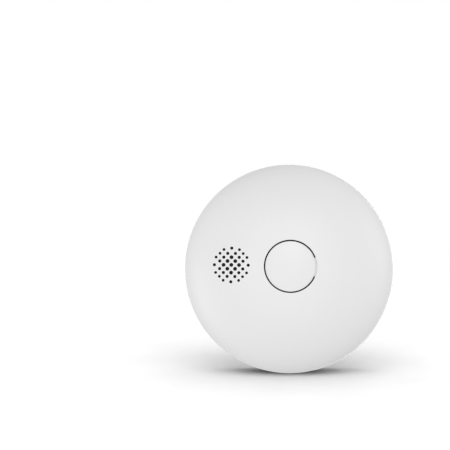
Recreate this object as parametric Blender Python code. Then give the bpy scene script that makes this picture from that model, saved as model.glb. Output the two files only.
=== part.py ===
"""Round battery smoke alarm with a twist-off ceiling plate, built piece by piece as it comes apart.

Every piece is modelled on the alarm's own axis: z runs from the ceiling out into the room, and x and y
are right and up for someone who looks at the face. The alarm_axis empty then turns the whole alarm so
that its face looks along -Y with +Z up, and its ceiling face lies in the plane Y = 0.
"""

import math

import bmesh
import bpy
from mathutils import Matrix, Vector

TAU = 2 * math.pi

# Facets round the turned pieces
ROUND = 52
MIDDLE_ROUND = 36
CELL_ROUND = 24
SMALL_ROUND = 16
PIN_ROUND = 10
HOLE_ROUND = 8
ARC_SIDES = 8
SHARP_EDGE = math.radians(32)
WELD = 1e-6

# Fits, in metres like every length below
SEAT_GAP = 0.0003
SOLDER_GAP = 0.0001
BOND_LINE = 0.00005
INNER_CLEARANCE = 0.0015
EDGE_BREAK = 0.0003
OVERLAP = 0.0005

# Front cover: a superellipse of revolution over a rolled lip
COVER_RADIUS = 0.0500
COVER_WALL = 0.0020
DOME_RISE = 0.0210
DOME_FULLNESS = 2.5
DOME_STEPS = 9
INNER_STEPS = 6
LIP_RADIUS = 0.0014
LIP_STEPS = 3
INLET_HEIGHT = 0.0066

# Test button in its collar, held by hooks under the collar's end
BUTTON_RADIUS = 0.01195
BUTTON_GAP = 0.0006
BUTTON_WALL = 0.0016
BUTTON_CROWN = 0.0006
BUTTON_STEPS = 4
BUTTON_SKIRT_WALL = 0.0012
BUTTON_TRAVEL = 0.0010
COLLAR_WALL = 0.0015
COLLAR_DEPTH = 0.0030
HOOK_COUNT = 3
HOOK_FIRST = math.radians(60)
HOOK_ANGLE = math.radians(24)
HOOK_REACH = 0.0011
HOOK_HEIGHT = 0.0012
STEM_RADIUS = 0.0022
STEM_TIP_RADIUS = 0.0018

# Light guide: an arc in the button gap, on the side away from the sounder
GUIDE_ANGLE = math.radians(42)
GUIDE_BUTTON_GAP = 0.00015
GUIDE_COVER_GAP = 0.00007
GUIDE_FLANGE_REACH = 0.0035
GUIDE_FLANGE_HEIGHT = 0.0018
GUIDE_LEG_DEPTH = 0.0030
GUIDE_LEG_WIDTH = 0.0040
GUIDE_NOTCH_MARGIN = math.radians(4)

# Sounder behind its grille: shares of the support's radius, and of the step between holes
GRILLE_STEP_RATIO = 0.1352
GRILLE_ROWS = 4
GRILLE_REACH_STEPS = 4.48
GRILLE_AXIAL_STEPS = 4.375
GRILLE_HOLE_RATIOS = ((2.1, 0.504), (3.3, 0.422), (GRILLE_REACH_STEPS, 0.373))
AXIAL_HOLE_RATIO = 0.411
CERAMIC_RATIO = 0.63
SOUNDER_CONTACT_FOOT_RATIO = 0.207
SOUNDER_CONTACT_LEAN_RATIO = 0.267
SOUNDER_CONTACT_TIP_RATIO = 0.081
SUPPORT_EDGE_GAP = 0.0010
SUPPORT_WALL = 0.0016
SUPPORT_HEIGHT = 0.0122
PIEZO_EDGE = 0.0005
PIEZO_THICKNESS = 0.0003
CERAMIC_THICKNESS = 0.00025
SOUNDER_CONTACT_WIDTH = 0.0024
SOUNDER_CONTACT_THICKNESS = 0.0003

# Ceiling plate with bayonet tabs, screw slots and stiffening ribs
PLATE_THICKNESS = 0.0020
RIM_WALL = 0.0018
TAB_COUNT = 3
TAB_FIRST = math.radians(30)
TAB_ANGLE = math.radians(16)
TAB_REACH = 0.0024
TAB_THICKNESS = 0.0016
STOP_ANGLE = math.radians(3)
SLOT_WIDTH = 0.0046
SLOT_LENGTH = 0.0140
SLOT_OFFSET = 0.0300
SLOT_COUNT = 4
RIB_RADIUS = 0.0210
RIB_WIDTH = 0.0012
RIB_HEIGHT = 0.0014
SCREW_HEAD_SPACE = 0.0030

# Rear housing
FLOOR_THICKNESS = 0.0020
SKIRT_BACK = 0.0004
SKIRT_WALL = 0.0020
SKIRT_CLEARANCE = 0.0006
LEDGE_THICKNESS = 0.0015
LEDGE_CLEARANCE = 0.0006
TWIST_GAP = 0.0004
FLANGE_SETBACK = 0.0025
FLANGE_OVERHANG = 0.0021
FLANGE_LAND = 0.0022
FLANGE_STEPS = 3

# Insect screen behind the smoke inlet, and the ring that holds it up
INLET_DEPTH = 0.0062
SCREEN_WALL = 0.0008
SCREEN_WINDOWS = 32
SCREEN_BAR = math.radians(2.8)
SCREEN_HEM = 0.0012
SCREEN_SEAT_DEPTH = 0.0005
RETAINER_THICKNESS = 0.0016
RETAINER_LIP_DROP = 0.0013
RETAINER_LIP_WALL = 0.0011
RETAINER_INSIDE = 0.0006

# Circuit board
BOARD_STANDOFF = 0.0014
BOARD_THICKNESS = 0.0016
BOARD_EDGE_GAP = 0.0005
PAD_RADIUS = 0.0026
BOARD_SCREW_RADIUS = 0.0010
BOARD_SCREW_HEAD_RADIUS = 0.0019
BOARD_SCREW_HEAD_HEIGHT = 0.0013

# Housing screws and their bosses
BOSS_ANGLES = tuple(math.radians(degrees) for degrees in (45, 135, 215, 325))
SCREW_RADIUS = 0.00145
SCREW_HEAD_RADIUS = 0.0027
SCREW_HEAD_HEIGHT = 0.0020
SCREW_BITE = 0.0070
PILOT_CLEARANCE = 0.00015
SCREW_CLEARANCE = 0.00035
BOSS_WALL = 0.0011
COVER_BOSS_RADIUS = 0.0032
SCREW_SEAT_HEIGHT = 0.0030

# Lithium cell in its tunnel: a smaller cover takes a smaller cell
CELL_RADIUS_RATIO = 0.17
CELL_LENGTH_RATIO = 0.69
CELL_RADIUS = CELL_RADIUS_RATIO * COVER_RADIUS
CELL_LENGTH = CELL_LENGTH_RATIO * COVER_RADIUS
CELL_NUB_RADIUS = 0.0032
CELL_NUB_LENGTH = 0.0015
CELL_CLEARANCE = 0.0005
CONTACT_SPACE = 0.0032
CONTACT_THICKNESS = 0.0004
CONTACT_WIDTH = 0.0070
CONTACT_HEIGHT = 0.0100
CONTACT_TAB_HEIGHT = 0.0029
CONTACT_TAB_REACH = 0.0020
CONTACT_SLOT_MARGIN = 0.00025
LEAF_RATIOS = ((0, -1), (0, 0.8), (0.4, 1), (0.8, 0.7), (1, 0.2), (1, -0.2), (0.7, -0.6))
TUNNEL_WALL = 0.0012
SPRING_WIRE = 0.0005
SPRING_TURNS = 3
SPRING_POINTS = 10
SPRING_WIDE_RADIUS = 0.0052
SPRING_TIP_RADIUS = 0.0018

# Optical smoke chamber
CHAMBER_RADIUS = 0.0155
CHAMBER_HEIGHT = 0.0112
CHAMBER_PLATE = 0.0015
VANE_COUNT = 16
VANE_THICKNESS = 0.0009
VANE_INNER = 0.0046
VANE_BEND = 0.0025
VANE_SWING = math.radians(7)
DIODE_ANGLES = {"infrared_emitter": math.radians(-35), "photodiode": math.radians(215)}
DIODE_SHADOW = math.radians(27)
DIODE_RADIUS = 0.0025
DIODE_LENGTH = 0.0087
DIODE_STEPS = 4
DIODE_FLANGE_RADIUS = 0.0029
DIODE_FLANGE_LENGTH = 0.0010
DIODE_AXIS_HEIGHT = 0.0056
DIODE_BORE_GAP = 0.00025
DIODE_EDGE = 0.0016
DIODE_BACK = CHAMBER_RADIUS - DIODE_EDGE
DIODE_LEAD = 0.0005
DIODE_LEAD_SPREAD = 0.00127
DIODE_LEAD_STRAIGHT = 0.0009
HOLDER_LENGTH = 0.0076
HOLDER_WIDTH = 0.0074
HOLDER_HEIGHT = 0.0079

# Parts on the board
SWITCH_SIDE = 0.0062
SWITCH_HEIGHT = 0.0035
PLUNGER_RADIUS = 0.00175
PLUNGER_RISE = 0.0085
PLUNGER_SEAT = 0.0009
PLUNGER_GAP = 0.00025
LED_LENGTH = 0.0032
LED_WIDTH = 0.0028
LED_HEIGHT = 0.0019
LED_LENS_RADIUS = 0.0011
LED_LENS_RISE = 0.0002
CONTROLLER_SIDE = 0.0070
CONTROLLER_HEIGHT = 0.0012
CAPACITOR_RADIUS = 0.00315
CAPACITOR_HEIGHT = 0.0077
TRANSFORMER_RADIUS = 0.0042
TRANSFORMER_HEIGHT = 0.0080
TRANSFORMER_FLANGE = 0.0012
TRANSFORMER_NECK = 0.0031

# Levels along z, from the ceiling face out
FLOOR_BACK = PLATE_THICKNESS + SCREW_HEAD_SPACE
FLOOR_TOP = FLOOR_BACK + FLOOR_THICKNESS
LIP_BOTTOM = FLOOR_TOP + INLET_HEIGHT
WIDEST = LIP_BOTTOM + LIP_RADIUS
DOME_TOP = WIDEST + DOME_RISE
LEDGE_BACK = SKIRT_BACK + EDGE_BREAK
TAB_BACK = LEDGE_BACK + LEDGE_THICKNESS + TWIST_GAP
TAB_TOP = TAB_BACK + TAB_THICKNESS
BOARD_BACK = FLOOR_TOP + BOARD_STANDOFF
BOARD_TOP = BOARD_BACK + BOARD_THICKNESS
SOLDERED = BOARD_TOP + SOLDER_GAP
SEATED = BOARD_TOP + SEAT_GAP
SUPPORT_TOP = SEATED + SUPPORT_HEIGHT
PIEZO_BACK = SUPPORT_TOP + SEAT_GAP
PIEZO_TOP = PIEZO_BACK + PIEZO_THICKNESS
SWITCH_TOP = SOLDERED + SWITCH_HEIGHT
PLUNGER_TOP = SWITCH_TOP + PLUNGER_RISE
LED_TOP = SOLDERED + LED_HEIGHT + LED_LENS_RISE
SCREW_SEAT = FLOOR_TOP + SCREW_SEAT_HEIGHT
CELL_AXIS = FLOOR_BACK + SEAT_GAP + CELL_RADIUS

# Radii and places that follow from the sizes above
HOLE_RADIUS = BUTTON_RADIUS + BUTTON_GAP
COLLAR_RADIUS = HOLE_RADIUS + COLLAR_WALL
FLANGE_RADIUS = COVER_RADIUS - FLANGE_SETBACK
SKIRT_OUTER = FLANGE_RADIUS - FLANGE_OVERHANG
SKIRT_INNER = SKIRT_OUTER - SKIRT_WALL
PLATE_RADIUS = SKIRT_INNER - SKIRT_CLEARANCE - TAB_REACH
SCREEN_OUTER = COVER_RADIUS - INLET_DEPTH
SCREEN_INNER = SCREEN_OUTER - SCREEN_WALL
INNER_RADIUS = SCREEN_INNER - INNER_CLEARANCE
BOSS_RADIUS = SCREW_HEAD_RADIUS + SCREW_CLEARANCE + BOSS_WALL
BOSS_CIRCLE = INNER_RADIUS - BOSS_RADIUS
CHAMBER = Vector((0, INNER_RADIUS - CHAMBER_RADIUS, 0))
TUNNEL_INNER = CELL_RADIUS + CELL_CLEARANCE
TUNNEL_OUTER = TUNNEL_INNER + TUNNEL_WALL
TUNNEL_HALF = CELL_LENGTH / 2 + CONTACT_SPACE
TUNNEL_END = TUNNEL_HALF + TUNNEL_WALL
TUNNEL_Y = TUNNEL_OUTER - math.sqrt(INNER_RADIUS ** 2 - TUNNEL_END ** 2)
BOARD_EDGE = TUNNEL_Y + TUNNEL_OUTER + BOARD_EDGE_GAP
SUPPORT_RADIUS = -BOARD_EDGE - SUPPORT_EDGE_GAP
SOUNDER = Vector((SUPPORT_RADIUS - INNER_RADIUS, 0, 0))
GRILLE_STEP = GRILLE_STEP_RATIO * SUPPORT_RADIUS
CERAMIC_RADIUS = CERAMIC_RATIO * SUPPORT_RADIUS
SOUNDER_CONTACT_FOOT = SOUNDER_CONTACT_FOOT_RATIO * SUPPORT_RADIUS
SOUNDER_CONTACT_LEAN = SOUNDER_CONTACT_LEAN_RATIO * SUPPORT_RADIUS
SOUNDER_CONTACT_TIP = SOUNDER_CONTACT_TIP_RATIO * SUPPORT_RADIUS
GUIDE_FLANGE_RADIUS = HOLE_RADIUS + GUIDE_FLANGE_REACH
LEG_X = GUIDE_FLANGE_RADIUS - GUIDE_LEG_DEPTH / 2
CONTACT_X = TUNNEL_HALF - SEAT_GAP - CONTACT_THICKNESS / 2
BOARD_SCREWS = (
    Vector((SOUNDER.x + SUPPORT_RADIUS + PAD_RADIUS + SEAT_GAP, 0, 0)),
    Vector((BUTTON_RADIUS, BOARD_EDGE + PAD_RADIUS + SEAT_GAP, 0)),
    Vector((BOSS_CIRCLE - PAD_RADIUS, 4 * PAD_RADIUS, 0)),
)
CAPACITOR = Vector((LEG_X + GUIDE_LEG_DEPTH + CAPACITOR_RADIUS, BOARD_EDGE + 2 * CAPACITOR_RADIUS, 0))
CONTROLLER = Vector((LEG_X + CONTROLLER_SIDE, 2 * CONTROLLER_SIDE, 0))
TRANSFORMER = Vector((INNER_RADIUS - 2 * TRANSFORMER_RADIUS, 0, 0))


# Solids

def welded(mesh):
    """Join points that lie on each other."""
    bmesh.ops.remove_doubles(mesh, verts=mesh.verts, dist=WELD)
    bmesh.ops.dissolve_degenerate(mesh, edges=mesh.edges, dist=WELD)
    return mesh


def closed(mesh):
    """Weld a drawn solid and turn its faces outwards."""
    welded(mesh)
    bmesh.ops.recalc_face_normals(mesh, faces=mesh.faces)
    return mesh


def spun(outline, sides=ROUND, start=0.0, sweep=TAU):
    """Turn a (radius, height) outline about z. An outline that meets the axis begins and ends on it."""
    mesh = bmesh.new()
    heading = Vector((math.cos(start), math.sin(start), 0))
    corners = [mesh.verts.new(heading * radius + Vector((0, 0, height))) for radius, height in outline]
    whole = math.isclose(sweep, TAU)
    if whole:
        swept = [mesh.edges.new(pair) for pair in zip(corners, corners[1:])]
        if outline[0][0] > 0:
            swept.append(mesh.edges.new((corners[-1], corners[0])))
    else:
        swept = [mesh.faces.new(corners)]
    turned = corners + swept
    bmesh.ops.spin(mesh, geom=turned, axis=(0, 0, 1), angle=sweep, steps=sides, use_merge=whole)
    return closed(mesh)


def rectangle(inner, outer, low, high):
    """The outline of a plain ring."""
    return [(inner, low), (outer, low), (outer, high), (inner, high)]


def sector(outline, middle, sweep, sides=4):
    """Turn an outline through a sweep that is centred on an angle."""
    return spun(outline, sides, middle - sweep / 2, sweep)


def prism(outline, low, high):
    """Raise an (x, y) outline from one height to another."""
    mesh = bmesh.new()
    face = mesh.faces.new([mesh.verts.new((x, y, low)) for x, y in outline])
    raised = bmesh.ops.extrude_face_region(mesh, geom=[face])["geom"]
    top = [corner for corner in raised if isinstance(corner, bmesh.types.BMVert)]
    bmesh.ops.translate(mesh, verts=top, vec=(0, 0, high - low))
    return closed(mesh)


def block(low, high):
    """A box between two corners."""
    low = Vector(low)
    high = Vector(high)
    mesh = bmesh.new()
    bmesh.ops.create_cube(mesh, size=1)
    size = Matrix.Diagonal((*(high - low), 1))
    return moved(mesh, Matrix.Translation((low + high) / 2) @ size)


def rod(radius, low, high, at=(0, 0), sides=SMALL_ROUND):
    """An upright cylinder."""
    outline = [(0, low), (radius, low), (radius, high), (0, high)]
    return moved(spun(outline, sides), Matrix.Translation((at[0], at[1], 0)))


def stepped(levels, at=(0, 0), sides=SMALL_ROUND):
    """An upright turned pin from (radius, low, high) lengths, lowest first."""
    outline = [(0, levels[0][1])]
    for radius, low, high in levels:
        outline += [(radius, low), (radius, high)]
    outline.append((0, levels[-1][2]))
    return moved(spun(outline, sides), Matrix.Translation((at[0], at[1], 0)))


def ring(inner, outer, low, high, at=(0, 0), sides=MIDDLE_ROUND):
    """An upright tube."""
    return moved(spun(rectangle(inner, outer, low, high), sides), Matrix.Translation((at[0], at[1], 0)))


def moved(mesh, matrix):
    bmesh.ops.transform(mesh, matrix=matrix, verts=mesh.verts)
    return mesh


def laid_along_x(mesh, at):
    """Lay a solid drawn in (y, z) and raised along its own z onto the x axis, through a point."""
    turn = Matrix(((0, 0, 1, 0), (1, 0, 0, 0), (0, 1, 0, 0), (0, 0, 0, 1)))
    return moved(mesh, Matrix.Translation(at) @ turn)


def laid_across_y(mesh, at):
    """Lay a solid drawn in (x, z) and raised along its own z onto the y axis, through a point."""
    turn = Matrix(((1, 0, 0, 0), (0, 0, -1, 0), (0, 1, 0, 0), (0, 0, 0, 1)))
    return moved(mesh, Matrix.Translation(at) @ turn)


def grouped(meshes):
    """Put several separate solids into one mesh."""
    group = bmesh.new()
    for mesh in meshes:
        data = bpy.data.meshes.new("group")
        mesh.to_mesh(data)
        mesh.free()
        group.from_mesh(data)
        bpy.data.meshes.remove(data)
    return group


def arc(centre, radius, first, last, steps):
    """Points on an arc, ends included."""
    turns = [first + (last - first) * step / steps for step in range(steps + 1)]
    return [(centre[0] + radius * math.cos(turn), centre[1] + radius * math.sin(turn)) for turn in turns]


def ribbon(path, thickness):
    """The outline of a bent strip along a path, mitred at its bends."""
    points = [Vector(point) for point in path]
    runs = [(after - before).normalized() for before, after in zip(points, points[1:])]
    sides = [Vector((-run.y, run.x)) for run in runs]
    offsets = [sides[0]]
    for one, other in zip(sides, sides[1:]):
        offsets.append((one + other) / (1 + one.dot(other)))
    offsets.append(sides[-1])
    left = [point + offset * thickness / 2 for point, offset in zip(points, offsets)]
    right = [point - offset * thickness / 2 for point, offset in zip(points, offsets)]
    return [tuple(point) for point in left + right[::-1]]


def material(name, colour, roughness, metallic=0.0):
    finish = bpy.data.materials.new(name)
    finish.use_nodes = True
    shader = finish.node_tree.nodes["Principled BSDF"]
    shader.inputs["Base Color"].default_value = (*colour, 1)
    shader.inputs["Roughness"].default_value = roughness
    shader.inputs["Metallic"].default_value = metallic
    return finish


def piece(name, mesh, finish):
    """Make a named object of a solid, on the alarm's axis."""
    data = bpy.data.meshes.new(name)
    mesh.to_mesh(data)
    mesh.free()
    data.materials.append(finish)
    item = bpy.data.objects.new(name, data)
    bpy.context.collection.objects.link(item)
    return item


def settle(item):
    """Replace an object's mesh by what its modifiers make of it."""
    mesh = bmesh.new()
    mesh.from_object(item, bpy.context.evaluated_depsgraph_get())
    item.modifiers.clear()
    welded(mesh).to_mesh(item.data)
    mesh.free()


def shaped(item, operation, mesh):
    """Join, cut or trim an object with another solid."""
    data = bpy.data.meshes.new("tool")
    mesh.to_mesh(data)
    mesh.free()
    tool = bpy.data.objects.new("tool", data)
    bpy.context.collection.objects.link(tool)
    change = item.modifiers.new(operation, "BOOLEAN")
    change.operation = operation
    change.object = tool
    settle(item)
    bpy.data.objects.remove(tool)
    bpy.data.meshes.remove(data)
    return item


def join(item, *meshes):
    return shaped(item, "UNION", grouped(meshes))


def cut(item, *meshes):
    return shaped(item, "DIFFERENCE", grouped(meshes))


def around(count, first=0.0):
    return [first + TAU * step / count for step in range(count)]


def polar(radius, angle):
    return Vector((radius * math.cos(angle), radius * math.sin(angle), 0))


# The dome of the front cover

def dome_point(angle, depth=0.0):
    """(radius, height) on the dome at an angle from its top, sunk along the normal by a depth."""
    radius = COVER_RADIUS * math.sin(angle) ** (2 / DOME_FULLNESS)
    height = DOME_RISE * math.cos(angle)
    lean = DOME_FULLNESS / COVER_RADIUS * (radius / COVER_RADIUS) ** (DOME_FULLNESS - 1)
    rise = 2 / DOME_RISE * (height / DOME_RISE)
    size = math.hypot(lean, rise)
    return radius - depth * lean / size, WIDEST + height - depth * rise / size


def dome_angle(radius, depth=0.0):
    """The angle at which the dome, sunk by a depth, reaches a radius."""
    low, high = 0.0, math.pi / 2
    while high - low > WELD:
        middle = (low + high) / 2
        if dome_point(middle, depth)[0] < radius:
            low = middle
        else:
            high = middle
    return low


def dome_height(radius, depth=0.0):
    return dome_point(dome_angle(radius, depth), depth)[1]


def dome_run(first, last, steps, depth=0.0):
    """Points down the dome between two angles, ends included."""
    return [dome_point(first + (last - first) * step / steps, depth) for step in range(steps + 1)]


def inner_run():
    """The cover's inside as it is drawn, from its widest line up to the button collar."""
    return dome_run(math.pi / 2, dome_angle(COLLAR_RADIUS, COVER_WALL), INNER_STEPS, COVER_WALL)


def inside_radius(height):
    """How far out the cover's inside reaches at a height, between its drawn points."""
    for (radius, low), (higher_radius, high) in zip(inner_run(), inner_run()[1:]):
        if height <= high:
            return radius + (higher_radius - radius) * (height - low) / (high - low)
    return COLLAR_RADIUS


COLLAR_BOTTOM = dome_height(COLLAR_RADIUS, COVER_WALL) - COLLAR_DEPTH
HOOK_TOP = COLLAR_BOTTOM - SEAT_GAP
HOOK_BOTTOM = HOOK_TOP - HOOK_HEIGHT
GUIDE_FLANGE_TOP = dome_height(GUIDE_FLANGE_RADIUS, COVER_WALL) - SEAT_GAP
GUIDE_FLANGE_BOTTOM = GUIDE_FLANGE_TOP - GUIDE_FLANGE_HEIGHT


def cover_outline():
    """Section of the cover from the button opening out to the lip and back inside to the collar."""
    outside = dome_run(dome_angle(HOLE_RADIUS + EDGE_BREAK), math.pi / 2, DOME_STEPS)
    lip = arc((COVER_RADIUS - LIP_RADIUS, WIDEST), LIP_RADIUS, 0, -math.pi / 2, LIP_STEPS)[1:]
    lip.append((COVER_RADIUS - COVER_WALL, LIP_BOTTOM))
    collar = [(COLLAR_RADIUS, COLLAR_BOTTOM), (HOLE_RADIUS, COLLAR_BOTTOM)]
    collar.append((HOLE_RADIUS, dome_height(HOLE_RADIUS) - EDGE_BREAK))
    return outside + lip + inner_run() + collar


def grille_holes():
    """(place, radius) of each sounder hole: a square lattice on its corner, with smaller holes outwards."""
    rows = range(-GRILLE_ROWS, GRILLE_ROWS + 1)
    holes = []
    for place in [Vector((column, row, 0)) for column in rows for row in rows if (column + row) % 2 == 0]:
        if place.length > GRILLE_REACH_STEPS:
            continue
        ratio = next(share for limit, share in GRILLE_HOLE_RATIOS if place.length <= limit)
        if place.length == GRILLE_ROWS:
            place = place / GRILLE_ROWS * GRILLE_AXIAL_STEPS
            ratio = AXIAL_HOLE_RATIO
        holes.append((SOUNDER + place * GRILLE_STEP, ratio * GRILLE_STEP))
    return holes


def make_front_cover(finish):
    cover = piece("front_cover", spun(cover_outline()), finish)
    middle = COVER_WALL / 2
    core = [(0, 0), (COVER_RADIUS - middle, 0)] + dome_run(math.pi / 2, 0, DOME_STEPS, middle)
    collar_low = PIEZO_TOP + SEAT_GAP
    fittings = [ring(SUPPORT_RADIUS - SUPPORT_WALL, SUPPORT_RADIUS, collar_low, DOME_TOP, SOUNDER)]
    for angle in BOSS_ANGLES:
        fittings.append(rod(COVER_BOSS_RADIUS, LIP_BOTTOM, DOME_TOP, polar(BOSS_CIRCLE, angle)))
    inside = piece("inside_fittings", grouped(fittings), finish)
    shaped(inside, "INTERSECT", spun(core))
    trimmed = bmesh.new()
    trimmed.from_mesh(inside.data)
    bpy.data.objects.remove(inside)
    join(cover, trimmed)
    low = COLLAR_BOTTOM - OVERLAP
    high = GUIDE_FLANGE_TOP + SEAT_GAP
    notch = rectangle(HOLE_RADIUS - OVERLAP, COLLAR_RADIUS + OVERLAP, low, high)
    holes = [sector(notch, 0, GUIDE_ANGLE + 2 * GUIDE_NOTCH_MARGIN, ARC_SIDES)]
    pilot = SCREW_RADIUS + PILOT_CLEARANCE
    pilot_end = LIP_BOTTOM + SCREW_BITE + SEAT_GAP
    for angle in BOSS_ANGLES:
        holes.append(rod(pilot, LIP_BOTTOM - OVERLAP, pilot_end, polar(BOSS_CIRCLE, angle), PIN_ROUND))
    for place, radius in grille_holes():
        holes.append(rod(radius, PIEZO_TOP, DOME_TOP + OVERLAP, place, HOLE_ROUND))
    return cut(cover, *holes)


def make_test_button(finish):
    edge = DOME_TOP - BUTTON_CROWN
    ceiling = edge - BUTTON_WALL
    inner = BUTTON_RADIUS - BUTTON_SKIRT_WALL
    stem_end = PLUNGER_TOP + SEAT_GAP
    outline = []
    for step in range(BUTTON_STEPS + 1):
        share = step / BUTTON_STEPS
        outline.append((share * (BUTTON_RADIUS - EDGE_BREAK), DOME_TOP - share ** 2 * BUTTON_CROWN))
    outline += [(BUTTON_RADIUS, edge - EDGE_BREAK), (BUTTON_RADIUS, HOOK_BOTTOM), (inner, HOOK_BOTTOM)]
    outline += [(inner, ceiling), (STEM_RADIUS, ceiling), (STEM_TIP_RADIUS, stem_end), (0, stem_end)]
    button = piece("test_button", spun(outline, MIDDLE_ROUND), finish)
    root = BUTTON_RADIUS - BUTTON_SKIRT_WALL / 2
    tip = HOLE_RADIUS + HOOK_REACH
    ramp_top = HOOK_TOP - HOOK_HEIGHT / 2
    hook = [(root, HOOK_BOTTOM), (BUTTON_RADIUS, HOOK_BOTTOM), (tip, ramp_top)]
    hook += [(tip, HOOK_TOP), (root, HOOK_TOP)]
    return join(button, *[sector(hook, angle, HOOK_ANGLE) for angle in around(HOOK_COUNT, HOOK_FIRST)])


def make_light_guide(finish):
    near = BUTTON_RADIUS + GUIDE_BUTTON_GAP
    far = HOLE_RADIUS - GUIDE_COVER_GAP
    outer = GUIDE_FLANGE_RADIUS
    outline = [(near, dome_height(near)), (near, GUIDE_FLANGE_BOTTOM), (outer, GUIDE_FLANGE_BOTTOM)]
    outline += [(outer, GUIDE_FLANGE_TOP), (far, GUIDE_FLANGE_TOP), (far, dome_height(far))]
    guide = piece("light_guide", sector(outline, 0, GUIDE_ANGLE, ARC_SIDES), finish)
    half_depth = GUIDE_LEG_DEPTH / 2
    half_width = GUIDE_LEG_WIDTH / 2
    leg = block((LEG_X - half_depth, -half_width, LED_TOP + SEAT_GAP),
                (LEG_X + half_depth - OVERLAP, half_width, GUIDE_FLANGE_BOTTOM + OVERLAP))
    return join(guide, leg)


# Ceiling plate and rear housing

def screw_slot(angle):
    """One long screw slot with round ends, across the line from the plate's middle."""
    half = (SLOT_LENGTH - SLOT_WIDTH) / 2
    radius = SLOT_WIDTH / 2
    outline = arc((SLOT_OFFSET, half), radius, 0, math.pi, ARC_SIDES)
    outline += arc((SLOT_OFFSET, -half), radius, math.pi, TAU, ARC_SIDES)
    slot = prism(outline, -OVERLAP, PLATE_THICKNESS + OVERLAP)
    return moved(slot, Matrix.Rotation(angle, 4, "Z"))


def make_mounting_plate(finish):
    rim_top = TAB_TOP + EDGE_BREAK
    rim_inner = PLATE_RADIUS - RIM_WALL
    rib_top = PLATE_THICKNESS + RIB_HEIGHT
    rib_low = RIB_RADIUS - RIB_WIDTH / 2
    rib_high = RIB_RADIUS + RIB_WIDTH / 2
    outline = [(0, 0), (PLATE_RADIUS - EDGE_BREAK, 0), (PLATE_RADIUS, EDGE_BREAK), (PLATE_RADIUS, rim_top)]
    outline += [(rim_inner, rim_top), (rim_inner, PLATE_THICKNESS)]
    outline += [(rib_high, PLATE_THICKNESS), (rib_high, rib_top)]
    outline += [(rib_low, rib_top), (rib_low, PLATE_THICKNESS), (0, PLATE_THICKNESS)]
    plate = piece("mounting_plate", spun(outline), finish)
    root = PLATE_RADIUS - RIM_WALL / 2
    tip = PLATE_RADIUS + TAB_REACH
    shoulder = tip - EDGE_BREAK
    tab = [(root, TAB_BACK), (tip, TAB_BACK), (tip, TAB_TOP - EDGE_BREAK)]
    tab += [(shoulder, TAB_TOP), (root, TAB_TOP)]
    stop = rectangle(root, shoulder, LEDGE_BACK, TAB_TOP)
    stop_gap = SEAT_GAP / PLATE_RADIUS
    rib_foot = (RIB_RADIUS, -RIB_WIDTH / 2, PLATE_THICKNESS - OVERLAP)
    rib_head = (root, RIB_WIDTH / 2, rib_top - EDGE_BREAK)
    ribs = []
    for angle in around(SLOT_COUNT, math.pi / SLOT_COUNT):
        ribs.append(moved(block(rib_foot, rib_head), Matrix.Rotation(angle, 4, "Z")))
    tabs = []
    for angle in around(TAB_COUNT, TAB_FIRST):
        stop_middle = angle - TAB_ANGLE / 2 - stop_gap - STOP_ANGLE / 2
        tabs.append(sector(tab, angle, TAB_ANGLE))
        tabs.append(sector(stop, stop_middle, STOP_ANGLE, 2))
    join(plate, *ribs)
    join(plate, *tabs)
    return cut(plate, *[screw_slot(angle) for angle in around(SLOT_COUNT)])


def tunnel_outline(radius, foot):
    """Arched section of the battery tunnel, in (y, z)."""
    arch = arc((TUNNEL_Y, CELL_AXIS), radius, 0, math.pi, SMALL_ROUND // 2)
    return arch + [(TUNNEL_Y - radius, foot), (TUNNEL_Y + radius, foot)]


def housing_outline():
    """Section of the tray: flat floor, skirt round the ceiling plate, bowed flange and screen seat."""
    seat_low = FLOOR_TOP - SCREEN_SEAT_DEPTH
    land_low = FLOOR_TOP - FLANGE_LAND
    outline = [(0, FLOOR_BACK), (SKIRT_INNER, FLOOR_BACK), (SKIRT_INNER, SKIRT_BACK)]
    for step in range(FLANGE_STEPS + 1):
        turn = math.pi / 2 * step / FLANGE_STEPS
        radius = SKIRT_OUTER + (FLANGE_RADIUS - SKIRT_OUTER) * math.sin(turn)
        outline.append((radius, SKIRT_BACK + (land_low - SKIRT_BACK) * (1 - math.cos(turn))))
    outline += [(FLANGE_RADIUS, FLOOR_TOP - EDGE_BREAK), (FLANGE_RADIUS - EDGE_BREAK, FLOOR_TOP)]
    outline += [(SCREEN_OUTER + SEAT_GAP, FLOOR_TOP), (SCREEN_OUTER + SEAT_GAP, seat_low)]
    outline += [(SCREEN_INNER - SEAT_GAP, seat_low), (SCREEN_INNER - SEAT_GAP, FLOOR_TOP), (0, FLOOR_TOP)]
    return outline


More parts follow.
